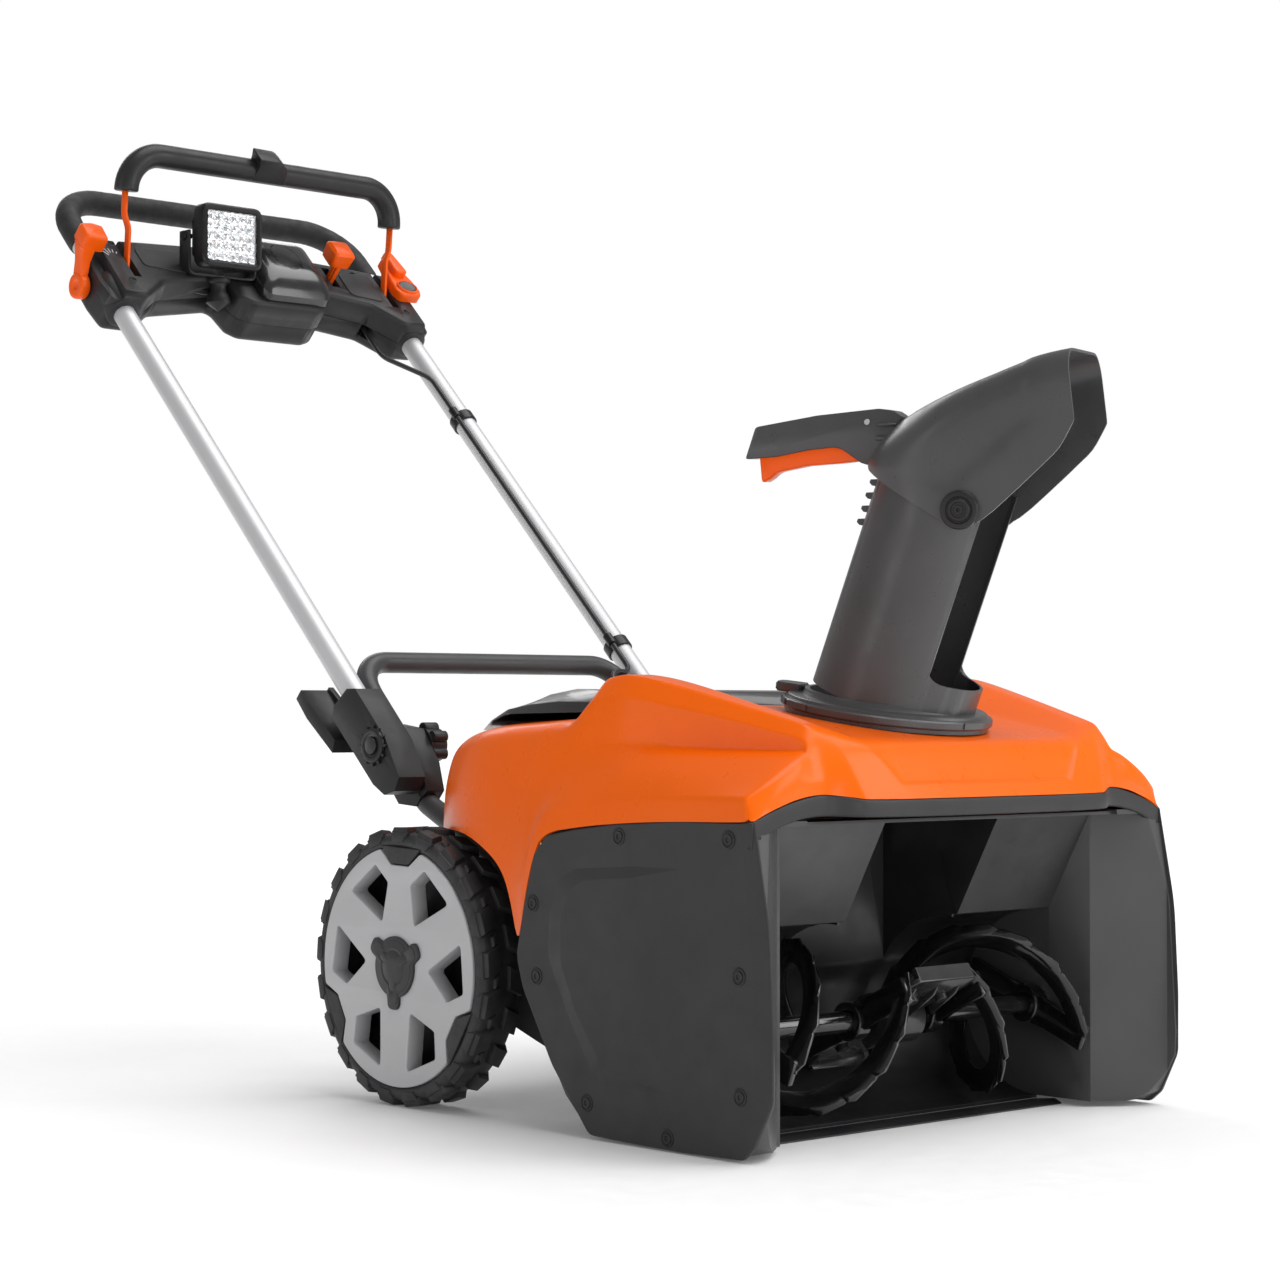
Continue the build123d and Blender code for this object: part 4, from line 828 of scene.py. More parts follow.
STEP_INNER = [(-336, 233.5), (-277, 229), (-256.5, 219), (-246.5, 192), (-246.5, 154), (-266, 113), (-300, 69),
              (-310, 61.5), (-342, 57.5)]


def plate_front(z):
    """How far forward the plate's front edge is at this height."""
    low, high = (-508.0, 80.0), (-486.5, 287.0)
    t = max(0.0, (z - low[1]) / (high[1] - low[1]))
    return low[0] + (high[0] - low[0]) * t ** 1.45


def side_plate(name, sign):
    line = rounded([p for p, _ in PLATE_LINE], [r for _, r in PLATE_LINE], 6)
    loops = [(offset_loop(line, 0.2), PLATE_OUT - 1.6), (offset_loop(line, 0.7), PLATE_OUT - 0.6),
             (offset_loop(line, 1.7), PLATE_OUT)]
    crease = [(-471, 284), (-478, 240), (-484.5, 185), (-488.5, 120), (-489.5, 58), (-484, 30), (-470, 10)]
    outer = rounded([(-424, 243.5)] + STEP_OUTER + [(-424, 49.5)], 26, 5)
    inner = rounded([(-424, 233.5)] + STEP_INNER + [(-424, 57.5)], 22, 5)
    places, edges = [], []

    def line_in(points, closed):
        start = len(places)
        places.extend(points)
        n = len(points)
        edges.extend((start + i, start + (i + 1) % n) for i in range(n if closed else n - 1))

    for points, _ in loops:
        line_in(points, True)
    line_in(crease, False)
    line_in(outer, True)
    line_in(inner, True)
    verts, _, faces, origin, _, _ = delaunay_2d_cdt([Vector(p) for p in places], edges, [], 1, 1e-4)
    counts = [len(points) for points, _ in loops]
    first_crease = sum(counts)
    first_outer = first_crease + len(crease)
    first_inner = first_outer + len(outer)

    def height(v, ids):
        y, z = v
        h = PLATE_OUT
        for k, (points, level) in enumerate(loops):
            start = sum(counts[:k])
            if any(start <= i < start + counts[k] for i in ids):
                h = level
        if any(i >= first_inner for i in ids):
            fade = min(1.0, max(0.0, (y + 400) / 75))
            h += STEP_RISE * fade * fade * (3 - 2 * fade)
        ahead = (y - plate_front(z)) / 17.5
        if ahead < 1 and z > 22:
            h -= FRONT_FALL * (1 - max(0.0, ahead)) * min(1.0, (z - 22) / 30)
        return h

    bm = bmesh.new()
    made = [bm.verts.new((sign * height(v, origin[i]), v.x, v.y)) for i, v in enumerate(verts)]
    for f in faces:
        bm.faces.new([made[i] for i in f])
    rim = [e for e in bm.edges if len(e.link_faces) == 1]
    grown = bmesh.ops.extrude_edge_only(bm, edges=rim)["geom"]
    back = [g for g in grown if isinstance(g, bmesh.types.BMVert)]
    for v in back:
        v.co.x = sign * (PLATE_IN - 0.2)
    bmesh.ops.holes_fill(bm, edges=[e for e in bm.edges if len(e.link_faces) == 1])
    bmesh.ops.recalc_face_normals(bm, faces=bm.faces)
    o = add(name + "_plate", bm, "machine", "dark_plastic", DARK, name + "_side_plate", smooth=4)
    # Painted light: the plate's inner faces get the lighter copy of the dark plastic, standing in for the fill light
    # that reaches them.
    o.data.materials.append(SIDE_PAINTED_LIGHT)
    for p in o.data.polygons:
        if all(abs(o.data.vertices[i].co.x) < (PLATE_IN - 0.1) * MM for i in p.vertices):
            p.material_index = 1


def screw_head(centre, sign):
    """Countersunk screw in its raised collar, seen end on along x."""
    y, z = centre
    base = PLATE_OUT
    if y - plate_front(z) < 17.5:
        base -= FRONT_FALL * (1 - (y - plate_front(z)) / 17.5)
    bm = bmesh.new()
    profile = [(0.1, 0.1), (2.0, 0.1), (2.3, 0.9), (4.4, 1.0), (4.9, 0.5), (5.0, 0.05), (5.9, 0.1), (6.6, 0.9),
               (7.2, 0.95), (7.9, 0.55), (8.2, -0.4), (7.6, -2.5), (0.1, -2.5)]
    rings = []
    for r, a in profile:
        ring = []
        for k in range(36):
            t = 2 * math.pi * k / 36
            rr = r
            if r in (2.0, 2.3):
                rr = r / math.cos((t + math.pi / 6) % (math.pi / 3) - math.pi / 6)
            ring.append(bm.verts.new((sign * (base + a), y + rr * math.cos(t), z + rr * math.sin(t))))
        rings.append(ring)
    for p, q in zip(rings, rings[1:]):
        for k in range(36):
            bm.faces.new((p[k], p[(k + 1) % 36], q[(k + 1) % 36], q[k]))
    for ring in (rings[0], rings[-1]):
        bm.faces.new(ring)
    bmesh.ops.recalc_face_normals(bm, faces=bm.faces)
    return bm


def plate_screws():
    heads = [screw_head(c, sign) for sign in (-1, 1) for c in PLATE_SCREWS]
    add("plate_screw_set", joined(*heads), "machine", "steel", BRACKET_DARK, "plate_screws", smooth=35)


# ---------------------------------------------------------------- front band

# x, y of the face, top edge, bottom edge, for the left half.
BAND = [
    (0, -512.6, 303, 286.6), (60, -512.6, 303, 286.6), (112, -512.5, 303, 286.8), (148, -511.8, 303.1, 287.3),
    (164, -510.6, 303.4, 287.7), (171, -507.4, 304.2, 288), (181, -498.5, 306.6, 288.4), (189, -491.8, 308.4, 288.7),
    (198, -489.6, 308.2, 288.8), (212, -488.8, 306.4, 288), (230, -488.1, 302.8, 285.2), (248, -487.4, 297.8, 280),
    (262, -486.8, 292.8, 274), (272, -486.2, 288.8, 267.5), (278.6, -485.6, 285.8, 262),
]


def front_band():
    stations = [(-x, y, a, b) for x, y, a, b in BAND[:0:-1]] + BAND
    bm = bmesh.new()
    rows = []
    for x, y, top, low in stations:
        section = [(y + 9, top - 0.4), (y + 1.6, top - 0.2), (y + 0.3, top - 1.2), (y, top - 2.6), (y - 0.4, (top + low) / 2),
                   (y, low + 3.2), (y + 0.5, low + 1.2), (y + 2.2, low), (y + 6, low + 0.2), (y + 7, low + 3)]
        rows.append([bm.verts.new((x, yy, zz)) for yy, zz in section])
    for a, b in zip(rows, rows[1:]):
        for j in range(len(a) - 1):
            bm.faces.new((a[j], a[j + 1], b[j + 1], b[j]))
    bmesh.ops.recalc_face_normals(bm, faces=bm.faces)
    front = [f for f in bm.faces if abs(f.calc_center_median().x) < 50 and f.calc_center_median().y < -512]
    if front and front[0].normal.y > 0:
        bmesh.ops.reverse_faces(bm, faces=bm.faces)
    o = add("front_band_face", bm, "machine", "dark_plastic", DARK, "front_band", closed=False)
    subdivide(o, 2)
    solid(o, 1.6)
    freeze(o, 50)


both_sides(side_plate)
plate_screws()
front_band()


# ---------------------------------------------------------------- wheels

def wheel_point(sign, x, r, degrees):
    """Degrees run from the front of the wheel, up over the top, to the rear."""
    t = math.radians(degrees)
    return Vector((sign * x, -r * math.cos(t), WHEEL_R + r * math.sin(t)))


NOTCH_AXES = (87.3, 207.3, 327.3)
WINDOW = [(47.5, 31), (100.5, 48.4), (102.5, 21.8), (81.5, 12.2)]


def polar(r, degrees):
    t = math.radians(degrees)
    return (r * math.cos(t), r * math.sin(t))


def hub_face(sign):
    line = []
    for axis in NOTCH_AXES:
        line += [polar(115, axis - 15.6), polar(98.5, axis - 8.0), polar(98.0, axis + 8.0), polar(115, axis + 15.6)]
        line += [polar(115, axis + 15.6 + 88.8 * k / 24) for k in range(1, 24)]
    corners = []
    radii = []
    for i, p in enumerate(line):
        corners.append(p)
        radii.append(5 if i % 27 in (0, 1, 2, 3) else 0)
    outlines = [rounded(corners, radii, 4)]
    for axis in NOTCH_AXES:
        for flip in (-1, 1):
            outlines.append(rounded([polar(r, axis + flip * d) for r, d in WINDOW], 3.5, 4))
    bm = flat_shape(outlines, 20, 1.4, 3)
    return laid(bm, lambda u, v, w: Vector((sign * (256.3 + w), -u, WHEEL_R + v)))


def hub_cap(sign):
    base = []
    for k in range(96):
        deg = 360 * k / 96
        r = 29.5
        for axis in NOTCH_AXES:
            away = abs((deg - axis - 180 + 180) % 360 - 180)
            r = max(r, 29.5 + 11.5 * max(0.0, 1 - (away / 17.5) ** 4))
        base.append(polar(r, deg))
    rim_step = flat_shape([base], 3.6, 1.2, 3)
    laid(rim_step, lambda u, v, w: Vector((sign * (275.6 + w), -u, WHEEL_R + v)))
    bm = bmesh.new()
    rings = []
    for scale, x in ((0.90, 278.6), (0.86, 279.8), (0.62, 280.6), (0.58, 280.0), (0.54, 280.0), (0.50, 280.7), (0.2, 280.9)):
        ring = [bm.verts.new((sign * x, -u * scale, WHEEL_R + v * scale)) for u, v in base]
        rings.append(ring)
    for p, q in zip(rings, rings[1:]):
        for k in range(96):
            bm.faces.new((p[k], p[(k + 1) % 96], q[(k + 1) % 96], q[k]))
    bm.faces.new(rings[-1])
    bmesh.ops.recalc_face_normals(bm, faces=bm.faces)
    return joined(rim_step, bm)


def lug(bm, sign, middle, x0, x1, wide, low, high, lean):
    """One tread block: wide at its foot, leaning round the tyre as it crosses the tread."""
    foot, head = [], []
    for x, shift in ((x0, 0.0), (x1, lean)):
        for d in (-1, 1):
            foot.append((x, middle + shift + d * wide / 2))
            head.append((x, middle + shift + d * wide * 0.39))
    order = (0, 1, 3, 2)
    a = [wheel_point(sign, foot[i][0], low, foot[i][1]) for i in order]
    inset_x = 2.2 if x1 > x0 else -2.2
    b = [wheel_point(sign, head[i][0] + (inset_x if i < 2 else -inset_x), high, head[i][1]) for i in order]
    prism(bm, a, b)


def tyre(name, sign):
    bm = bmesh.new()
    mid = (WHEEL_IN + WHEEL_OUT) / 2
    profile = [(108, WHEEL_OUT - 9), (113.4, WHEEL_OUT - 4), (116.4, WHEEL_OUT - 0.9), (119, WHEEL_OUT - 0.2),
               (123, WHEEL_OUT - 0.6), (126.4, WHEEL_OUT - 2.6), (128.6, WHEEL_OUT - 6.5), (129.4, mid + 8),
               (129.4, mid - 8), (128.4, WHEEL_IN + 6.5), (126, WHEEL_IN + 2.6), (119, WHEEL_IN + 0.3),
               (112, WHEEL_IN + 5), (108, WHEEL_IN + 9)]
    rings = []
    for r, x in profile:
        rings.append([bm.verts.new(wheel_point(sign, x, r, 360 * k / 144)) for k in range(144)])
    for p, q in zip(rings, rings[1:] + rings[:1]):
        for k in range(144):
            bm.faces.new((p[k], p[(k + 1) % 144], q[(k + 1) % 144], q[k]))
    blocks = bmesh.new()
    count = 21
    for k in range(count):
        base = 360 * k / count + 4
        lug(blocks, sign, base, WHEEL_OUT - 1.2, mid + 3, 11.6, 125.5, 133.9, 3.0)
        lug(blocks, sign, base + 360 / count / 2, WHEEL_IN + 1.2, mid - 3, 11.6, 125.5, 133.9, 3.0)
        lug(blocks, sign, base + 360 / count * 0.55, mid + 13, mid + 4, 5.0, 127, 132.0, 2.0)
        shoulder = [wheel_point(sign, WHEEL_OUT - 0.4, r, base + d) for r, d in
                    ((119.5, -3.6), (119.5, 3.6), (128.5, 5.2), (128.5, -5.2))]
        inner = [wheel_point(sign, WHEEL_OUT - 5, r, base + d) for r, d in
                 ((119.5, -4.6), (119.5, 4.6), (129.5, 5.8), (129.5, -5.8))]
        shoulder = [p + Vector((sign * (1.3 if i < 2 else 0.2), 0, 0)) for i, p in enumerate(shoulder)]
        prism(blocks, inner, shoulder)
    bmesh.ops.recalc_face_normals(blocks, faces=blocks.faces)
    bmesh.ops.bevel(blocks, geom=list(blocks.edges), offset=0.9, segments=2, affect="EDGES", profile=0.6)
    tabs = []
    for axis in NOTCH_AXES:
        line = rounded([polar(119, axis - 15.2), polar(99.6, axis - 7.6), polar(99.2, axis + 7.6), polar(119, axis + 15.2)],
                       [0, 5, 5, 0], 4)
        tab = flat_shape([line], 16, 1.3, 3)
        tabs.append(laid(tab, lambda u, v, w: Vector((sign * (260 + w), -u, WHEEL_R + v))))
    bmesh.ops.recalc_face_normals(bm, faces=bm.faces)
    body = name + "_wheel"
    add(name + "_tyre_tread", joined(bm, blocks, *tabs), body, "tyre_rubber", TYRE_BLACK, name + "_tyre", smooth=40)


def wheel(name, sign):
    body = name + "_wheel"
    tyre(name, sign)
    add(name + "_hub_face", hub_face(sign), body, "grey_plastic", LIGHT_GREY, name + "_rim", smooth=30)
    add(name + "_hub_cap", hub_cap(sign), body, "bracket_plastic", CAP_DARK, name + "_wheel_cap", smooth=30)
    bm = bmesh.new()
    lathe(bm, [(9, 0), (112, 0), (112, 3), (109, 5), (60, 7), (34, 7), (30, 24), (13, 24), (13, 30), (9, 30)],
          (sign * 229, 0, WHEEL_R), "x", 72)
    if sign < 0:
        for v in bm.verts:
            v.co.x = -229 - (v.co.x + 229)
    bmesh.ops.recalc_face_normals(bm, faces=bm.faces)
    add(name + "_hub_inner", bm, body, "bracket_plastic", INNER_BLACK, smooth=35)


both_sides(wheel)


# ---------------------------------------------------------------- chute

def lean(h):
    return 4 + h * math.tan(TUBE_LEAN)


def lean_tube(radius, h0, h1, steps=96):
    """Closed solid cylinder along the leaning tube, ends square to its line."""
    bm = bmesh.new()
    c, s = math.cos(TUBE_LEAN), math.sin(TUBE_LEAN)
    rings = []
    for h in (h0, h1):
        ring = []
        for k in range(steps):
            t = 2 * math.pi * k / steps
            a, b = radius * math.cos(t), radius * math.sin(t)
            ring.append(chute(lean(h) + a * c, b, h - a * s))
        rings.append(ring)
    prism(bm, *rings)
    bmesh.ops.recalc_face_normals(bm, faces=bm.faces)
    return bm


def ring_solid(profile, centre_u=0.0, steps=96):
    """Solid of revolution about the swivel axis from (radius, h) pairs, outside then inside."""
    bm = bmesh.new()
    rings = []
    for r, h in profile:
        rings.append([bm.verts.new(chute(centre_u + r * math.cos(2 * math.pi * k / steps),
                                         r * math.sin(2 * math.pi * k / steps), h)) for k in range(steps)])
    for p, q in zip(rings, rings[1:] + rings[:1]):
        for k in range(steps):
            bm.faces.new((p[k], p[(k + 1) % steps], q[(k + 1) % steps], q[k]))
    bmesh.ops.recalc_face_normals(bm, faces=bm.faces)
    return bm


def chute_tube():
    shell = loose(lean_tube(TUBE_R, -3, 207), "shell")
    cutter = loose(lean_tube(TUBE_R - 3, -40, 260))
    cut(shell, cutter)
    freeze(shell)
    scrap(cutter)
    outline = rounded([(-66, 36), (66, 36), (66, 300), (-66, 300)], [13, 13, 0, 0], 6)
    c, s = math.cos(TUBE_LEAN), math.sin(TUBE_LEAN)
    bm = bmesh.new()
    near = [chute(lean(h) + 39 * c, side, h - 39 * s) for side, h in outline]
    far = [chute(lean(h) + 140 * c, side, h - 140 * s) for side, h in outline]
    prism(bm, near, far)
    bmesh.ops.recalc_face_normals(bm, faces=bm.faces)
    window = loose(bm)
    cut(shell, window)
    freeze(shell)
    scrap(window)
    mesh = shell.data.copy()
    scrap(shell)
    wall = place("chute_wall", mesh, "chute", "chute_plastic", CHUTE_DARK)
    bevel(wall, 0.9, 2, 40)
    freeze(wall, 32)

    flange = ring_solid([(98, -11.6), (98, -6.6), (96.6, -5.2), (93.6, -4.6), (92.8, -2.4), (91.4, -1.6), (80.5, -1.2),
                         (78.6, 1.6), (77.9, 4), (73.5, 4), (73.5, -32), (75.5, -32), (75.5, -13), (96.8, -13)])
    pad = bmesh.new()
    line = rounded([(-108, -12), (-108, 14), (-80, 17), (-80, -15)], [10, 10, 6, 6], 5)
    prism(pad, [chute(u, s_, -4) for u, s_ in line], [chute(u, s_, 4.6) for u, s_ in line])
    bmesh.ops.recalc_face_normals(pad, faces=pad.faces)
    top = [e for e in pad.edges if len(e.link_faces) == 2]
    bmesh.ops.bevel(pad, geom=top, offset=1.4, segments=2, affect="EDGES")
    clip = bmesh.new()
    for a0, a1 in ((-74, -58), (-52, -34), (60, 76)):
        arc0 = [(97.2, a0), (99.2, a0), (99.2, (a0 + a1) / 2), (99.2, a1), (97.2, a1), (97.2, (a0 + a1) / 2)]
        spots = [(r * math.cos(math.radians(a - 90)), r * math.sin(math.radians(a - 90))) for r, a in arc0]
        prism(clip, [chute(u, s_, -11.4) for u, s_ in spots], [chute(u, s_, -5.8) for u, s_ in spots])
    bmesh.ops.recalc_face_normals(clip, faces=clip.faces)
    teeth = bmesh.new()
    for i in range(4):
        h = 201 - 12.5 * i
        u = lean(h) - TUBE_R - 0.5
        outline = rounded([(u + 3, h + 2.5), (u - 7, h + 1), (u - 7.6, h - 2), (u - 5, h - 4.5), (u + 3, h - 5)], 1.2, 3)
        plate_chute(teeth, outline, -11, 11)
    bmesh.ops.recalc_face_normals(teeth, faces=teeth.faces)
    add("chute_ring", joined(flange, pad, clip, teeth), "chute", "chute_plastic", CHUTE_DARK, "chute_tube", smooth=32)
    seat = ring_solid([(95, -17.2), (95, -13.6), (94, -13.2), (81, -13.2), (80.4, -17.2)])
    add("ring_seat_shape", seat, "machine", "chute_plastic", CHUTE_DARK, "ring_seat", smooth=32)


# Deflector stations from the back to the mouth: lower edge, knee, roof (u, h), half width, corner reach.
DEFLECTOR = [
    ((-41.4, 213.4), (-41.6, 213.8), (-41.8, 214.6), 5, 5, 0.6), ((-38, 212.2), (-38.5, 214), (-39.6, 221), 26, 25, 7),
    ((-31, 209.3), (-32, 214), (-34, 232), 42, 40, 18), ((-19, 204), (-21, 213), (-25, 246), 57, 52, 30),
    ((-4, 197.5), (-6, 211), (-13, 259), 68, 57, 42), ((14, 189.8), (12, 209), (3, 270.5), 75, 52, 46),
    ((32, 182), (32, 204), (22, 281), 78.7, 40, 40), ((50, 174), (51, 201), (44, 293.5), 79.5, 34, 34),
    ((66, 166), (69, 220), (60, 302), 79.5, 32, 32), ((86, 178), (86, 238), (76, 310), 79.5, 30, 30),
    ((106, 201), (102.5, 256), (90, 317.5), 79.5, 28, 28), ((124, 222), (116, 270), (103.4, 324), 79.5, 27, 27),
    ((126.5, 225), (118.4, 272.3), (106, 325.2), 79.5, 27, 27), ((138, 239), (140, 275.6), (125, 332.6), 79.5, 26, 26),
    ((147, 249.2), (157.4, 276), (142.4, 337.6), 79.5, 25, 25),
]
RIM_FROM, RIM_STEP = 7, 12


def deflector_half(station, raise_band, raise_all):
    low, knee, top, half, reach_s, reach_h = station
    low, knee, top = Vector(low), Vector(knee), Vector(top)
    first = (knee - low).length
    total = first + (top - knee).length

    def along(d):
        if d <= first:
            return low.lerp(knee, d / max(first, 1e-6))
        return knee.lerp(top, min(1.0, (d - first) / max(total - first, 1e-6)))

    spots = []
    out = (top - low).normalized()
    rise = 1.7
    reach_h = min(reach_h, total - first - 3) if total - first > 6 else (total - first) * 0.9
    rows = [0, first * 0.5, first - 0.8, first + 0.9]
    rows += [first + 0.9 + (total - reach_h - first - 0.9) * k / 2 for k in (1, 2)]
    for k, d in enumerate(rows):
        lift = rise if raise_all or (raise_band and k <= 2) else 0.0
        p = along(d)
        spots.append((p.x, half + lift, p.y))
    for k in range(1, 7):
        t = math.radians(15 * k)
        p = along(total - reach_h + reach_h * math.sin(t))
        lift = rise if raise_all else 0.0
        q = p + out * lift * math.sin(t)
        spots.append((q.x, half - reach_s * (1 - math.cos(t)) + lift * math.cos(t), q.y))
    p = along(total) + out * (rise if raise_all else 0.0)
    flat = half - reach_s
    for k in (0.5, 0.0):
        spots.append((p.x, flat * k, p.y))
    return spots


def deflector():
    bm = bmesh.new()
    rows = []
    for i, station in enumerate(DEFLECTOR):
        half = deflector_half(station, i >= RIM_FROM, i >= RIM_STEP)
        row = [chute(u, s, h) for u, s, h in half] + [chute(u, -s, h) for u, s, h in half[-2::-1]]
        rows.append([bm.verts.new(p) for p in row])
    for a, b in zip(rows, rows[1:]):
        for j in range(len(a) - 1):
            bm.faces.new((a[j], a[j + 1], b[j + 1], b[j]))
    bm.faces.new(rows[0])
    bmesh.ops.recalc_face_normals(bm, faces=bm.faces)
    roof = max(bm.faces, key=lambda f: f.calc_center_median().z)
    if roof.normal.z < 0:
        bmesh.ops.reverse_faces(bm, faces=bm.faces)
    o = add("deflector_shell", bm, "deflector_body", "chute_plastic", CHUTE_DARK, "deflector", closed=False)
    subdivide(o, 1)
    solid(o, 2.6)
    freeze(o, 24)
    rim = bmesh.new()
    for sign in (-1, 1):
        boss = []
        for r, s in ((17.5, 80.5), (17.5, 82.6), (16.6, 83.6), (13, 83.8)):
            boss.append([rim.verts.new(chute(PIVOT_U + r * math.cos(2 * math.pi * k / 48), sign * s,
                                             PIVOT_H + r * math.sin(2 * math.pi * k / 48))) for k in range(48)])
        for p, q in zip(boss, boss[1:]):
            for k in range(48):
                rim.faces.new((p[k], p[(k + 1) % 48], q[(k + 1) % 48], q[k]))
        rim.faces.new(boss[-1])
    bmesh.ops.recalc_face_normals(rim, faces=rim.faces)
    add("deflector_bosses", rim, "deflector_body", "chute_plastic", CHUTE_DARK, smooth=35)


def knob_side(sign):
    bm = bmesh.new()
    profile = [(17.4, 82.8), (17.4, 85.4), (16.4, 86.8), (15.2, 87.2), (12.6, 87.2), (11.4, 86.2), (10.6, 86.2),
               (10.2, 88.0), (9.4, 88.8), (7.2, 88.8), (6.6, 87.6), (4.6, 87.6), (4.2, 88.4), (1.8, 88.4), (1.5, 86.6)]
    rings = []
    for r, s in profile:
        rings.append([bm.verts.new(chute(PIVOT_U + r * math.cos(2 * math.pi * k / 64), sign * s,
                                         PIVOT_H + r * math.sin(2 * math.pi * k / 64))) for k in range(64)])
    for p, q in zip(rings, rings[1:]):
        for k in range(64):
            bm.faces.new((p[k], p[(k + 1) % 64], q[(k + 1) % 64], q[k]))
    bm.faces.new(rings[-1])
    bm.faces.new(rings[0])
    bmesh.ops.recalc_face_normals(bm, faces=bm.faces)
    return bm


HANDLE_LINE = [((-153, 238), 5), ((-159.5, 207), 2), ((-130, 212.5), 30), ((-100, 222), 30), ((-71, 228.5), 22),
               ((-48, 216), 0), ((-37, 214), 0), ((-18, 248), 0), ((-12, 262), 0), ((-22, 267), 8), ((-37, 267.5), 24),
               ((-95, 255), 60)]
TRIGGER_LINE = [((-141.5, 186), 4), ((-147, 212), 3), ((-140, 216), 2), ((-60, 238), 3), ((-54, 257), 5),
                ((-43, 257), 5), ((-45, 236), 5), ((-50, 217.5), 8), ((-68, 213.5), 22), ((-100, 207.5), 60),
                ((-128, 198.5), 14), ((-134, 192), 3)]


def chute_handle():
    line = rounded([p for p, _ in HANDLE_LINE], [r for _, r in HANDLE_LINE], 5)
    bm = bmesh.new()
    plate_chute(bm, line, -14, 14)
    bmesh.ops.recalc_face_normals(bm, faces=bm.faces)
    for y0, y1 in ((251, 256), (238, 244), (226, 231)):
        fin = [(-36, y0), (-18, y0 + 2), (-18, y1), (-36, y1 - 1)]
        plate_chute(bm, fin, -16.5, 16.5)
    bmesh.ops.recalc_face_normals(bm, faces=bm.faces)
    o = add("chute_grip", bm, "deflector_body", "chute_plastic", CHUTE_DARK, "chute_handle")
    bevel(o, 1.8, 3, 40)
    freeze(o, 32)
    line = rounded([p for p, _ in TRIGGER_LINE], [r for _, r in TRIGGER_LINE], 5)
    bm = bmesh.new()
    plate_chute(bm, line, -11, 11)
    bmesh.ops.recalc_face_normals(bm, faces=bm.faces)
    o = add("trigger_blade", bm, "trigger", "orange_plastic", ORANGE_PART, "chute_trigger")
    bevel(o, 2.2, 3, 40)
    freeze(o, 32)
    bm = bmesh.new()
    rings = []
    for r, s in ((2.6, -14.6), (2.9, -14.2), (2.9, 14.2), (2.6, 14.6)):
        rings.append([bm.verts.new(chute(-46.5 + r * math.cos(2 * math.pi * k / 24), s,
                                         254 + r * math.sin(2 * math.pi * k / 24))) for k in range(24)])
    for p, q in zip(rings, rings[1:]):
        for k in range(24):
            bm.faces.new((p[k], p[(k + 1) % 24], q[(k + 1) % 24], q[k]))
    bm.faces.new(rings[0])
    bm.faces.new(rings[-1])
    bmesh.ops.recalc_face_normals(bm, faces=bm.faces)
    add("trigger_rivet", bm, "deflector_body", "steel", STEEL, "trigger_pin", smooth=35)


chute_tube()
deflector()
add("pivot_knobs", joined(knob_side(-1), knob_side(1)), "deflector_body", "bracket_plastic", BRACKET_DARK,
    "deflector_knobs", smooth=35)
chute_handle()


# ---------------------------------------------------------------- intake liner and auger

FLIGHT_START, FLIGHT_PITCH, FLIGHT_FROM, FLIGHT_TO = 150.0, 235.0, 47.0, 202.0
TOOTH_TURN = 24.0


def turned(x, angle, radius, lift=0.0):
    """A point on the auger: angle in degrees round its axis, lift square to the radius."""
    t = math.radians(angle)
    return Vector((x, AUGER_Y + radius * math.cos(t) - lift * math.sin(t), AUGER_Z + radius * math.sin(t) + lift * math.cos(t)))


def liner():
    """The moulded liner: black by the auger, painted light on the flared sides and front edge, a lighter grey on the
    shoulder.
    """
    o = refine("auger_housing", 1.3, LINER_BLACK, degrees=35)
    o.data.materials.append(SIDE_PAINTED_LIGHT)
    o.data.materials.append(LINER_GREY)
    for p in o.data.polygons:
        c = p.center / MM
        x, y, z = c.x, c.y - AXLE_SHIFT, c.z
        # Painted light: the flared side walls and the front edge get the lighter copy of the dark plastic in place of
        # the fill light they catch.
        if abs(x) > 206 or y < -449:
            p.material_index = 1
        elif abs(x) > 84 and z > 186:
            p.material_index = 2
    refine("scraper_bar", 0.8, BRACKET_DARK)


def ribbon(sign, start):
    """Helical rubber ribbon whose outer edge steps out and back like saw teeth."""
    bm = bmesh.new()
    rows = []
    span = 360 * (FLIGHT_TO - FLIGHT_FROM) / FLIGHT_PITCH
    turns = []
    a = -8.0
    while a < span:
        for part in (0.0, 0.35, 0.7, 0.93):
            turns.append((a + TOOTH_TURN * part, part))
        a += TOOTH_TURN
    for turn, part in turns:
        if turn > span:
            break
        x = FLIGHT_FROM + FLIGHT_PITCH * max(turn, -8.0) / 360
        chord = math.cos(math.radians(TOOTH_TURN * (part - 0.45)))
        outer = min(84.0, (77.6 + 5.0 * part) / chord) if part < 0.93 else 77.8
        half = 2.0
        ring = []
        for r, push in ((57.5, -half), (57.5, half), (70, half + 0.5), (outer, half * 0.72), (outer, -half * 0.72),
                        (70, -half - 0.5)):
            p = turned(x, start + turn, r)
            ring.append(bm.verts.new((sign * (p.x + push), p.y, p.z)))
        rows.append(ring)
    for p, q in zip(rows, rows[1:]):
        for k in range(6):
            bm.faces.new((p[k], p[(k + 1) % 6], q[(k + 1) % 6], q[k]))
    bm.faces.new(rows[0])
    bm.faces.new(rows[-1])
    bmesh.ops.recalc_face_normals(bm, faces=bm.faces)
    return bm


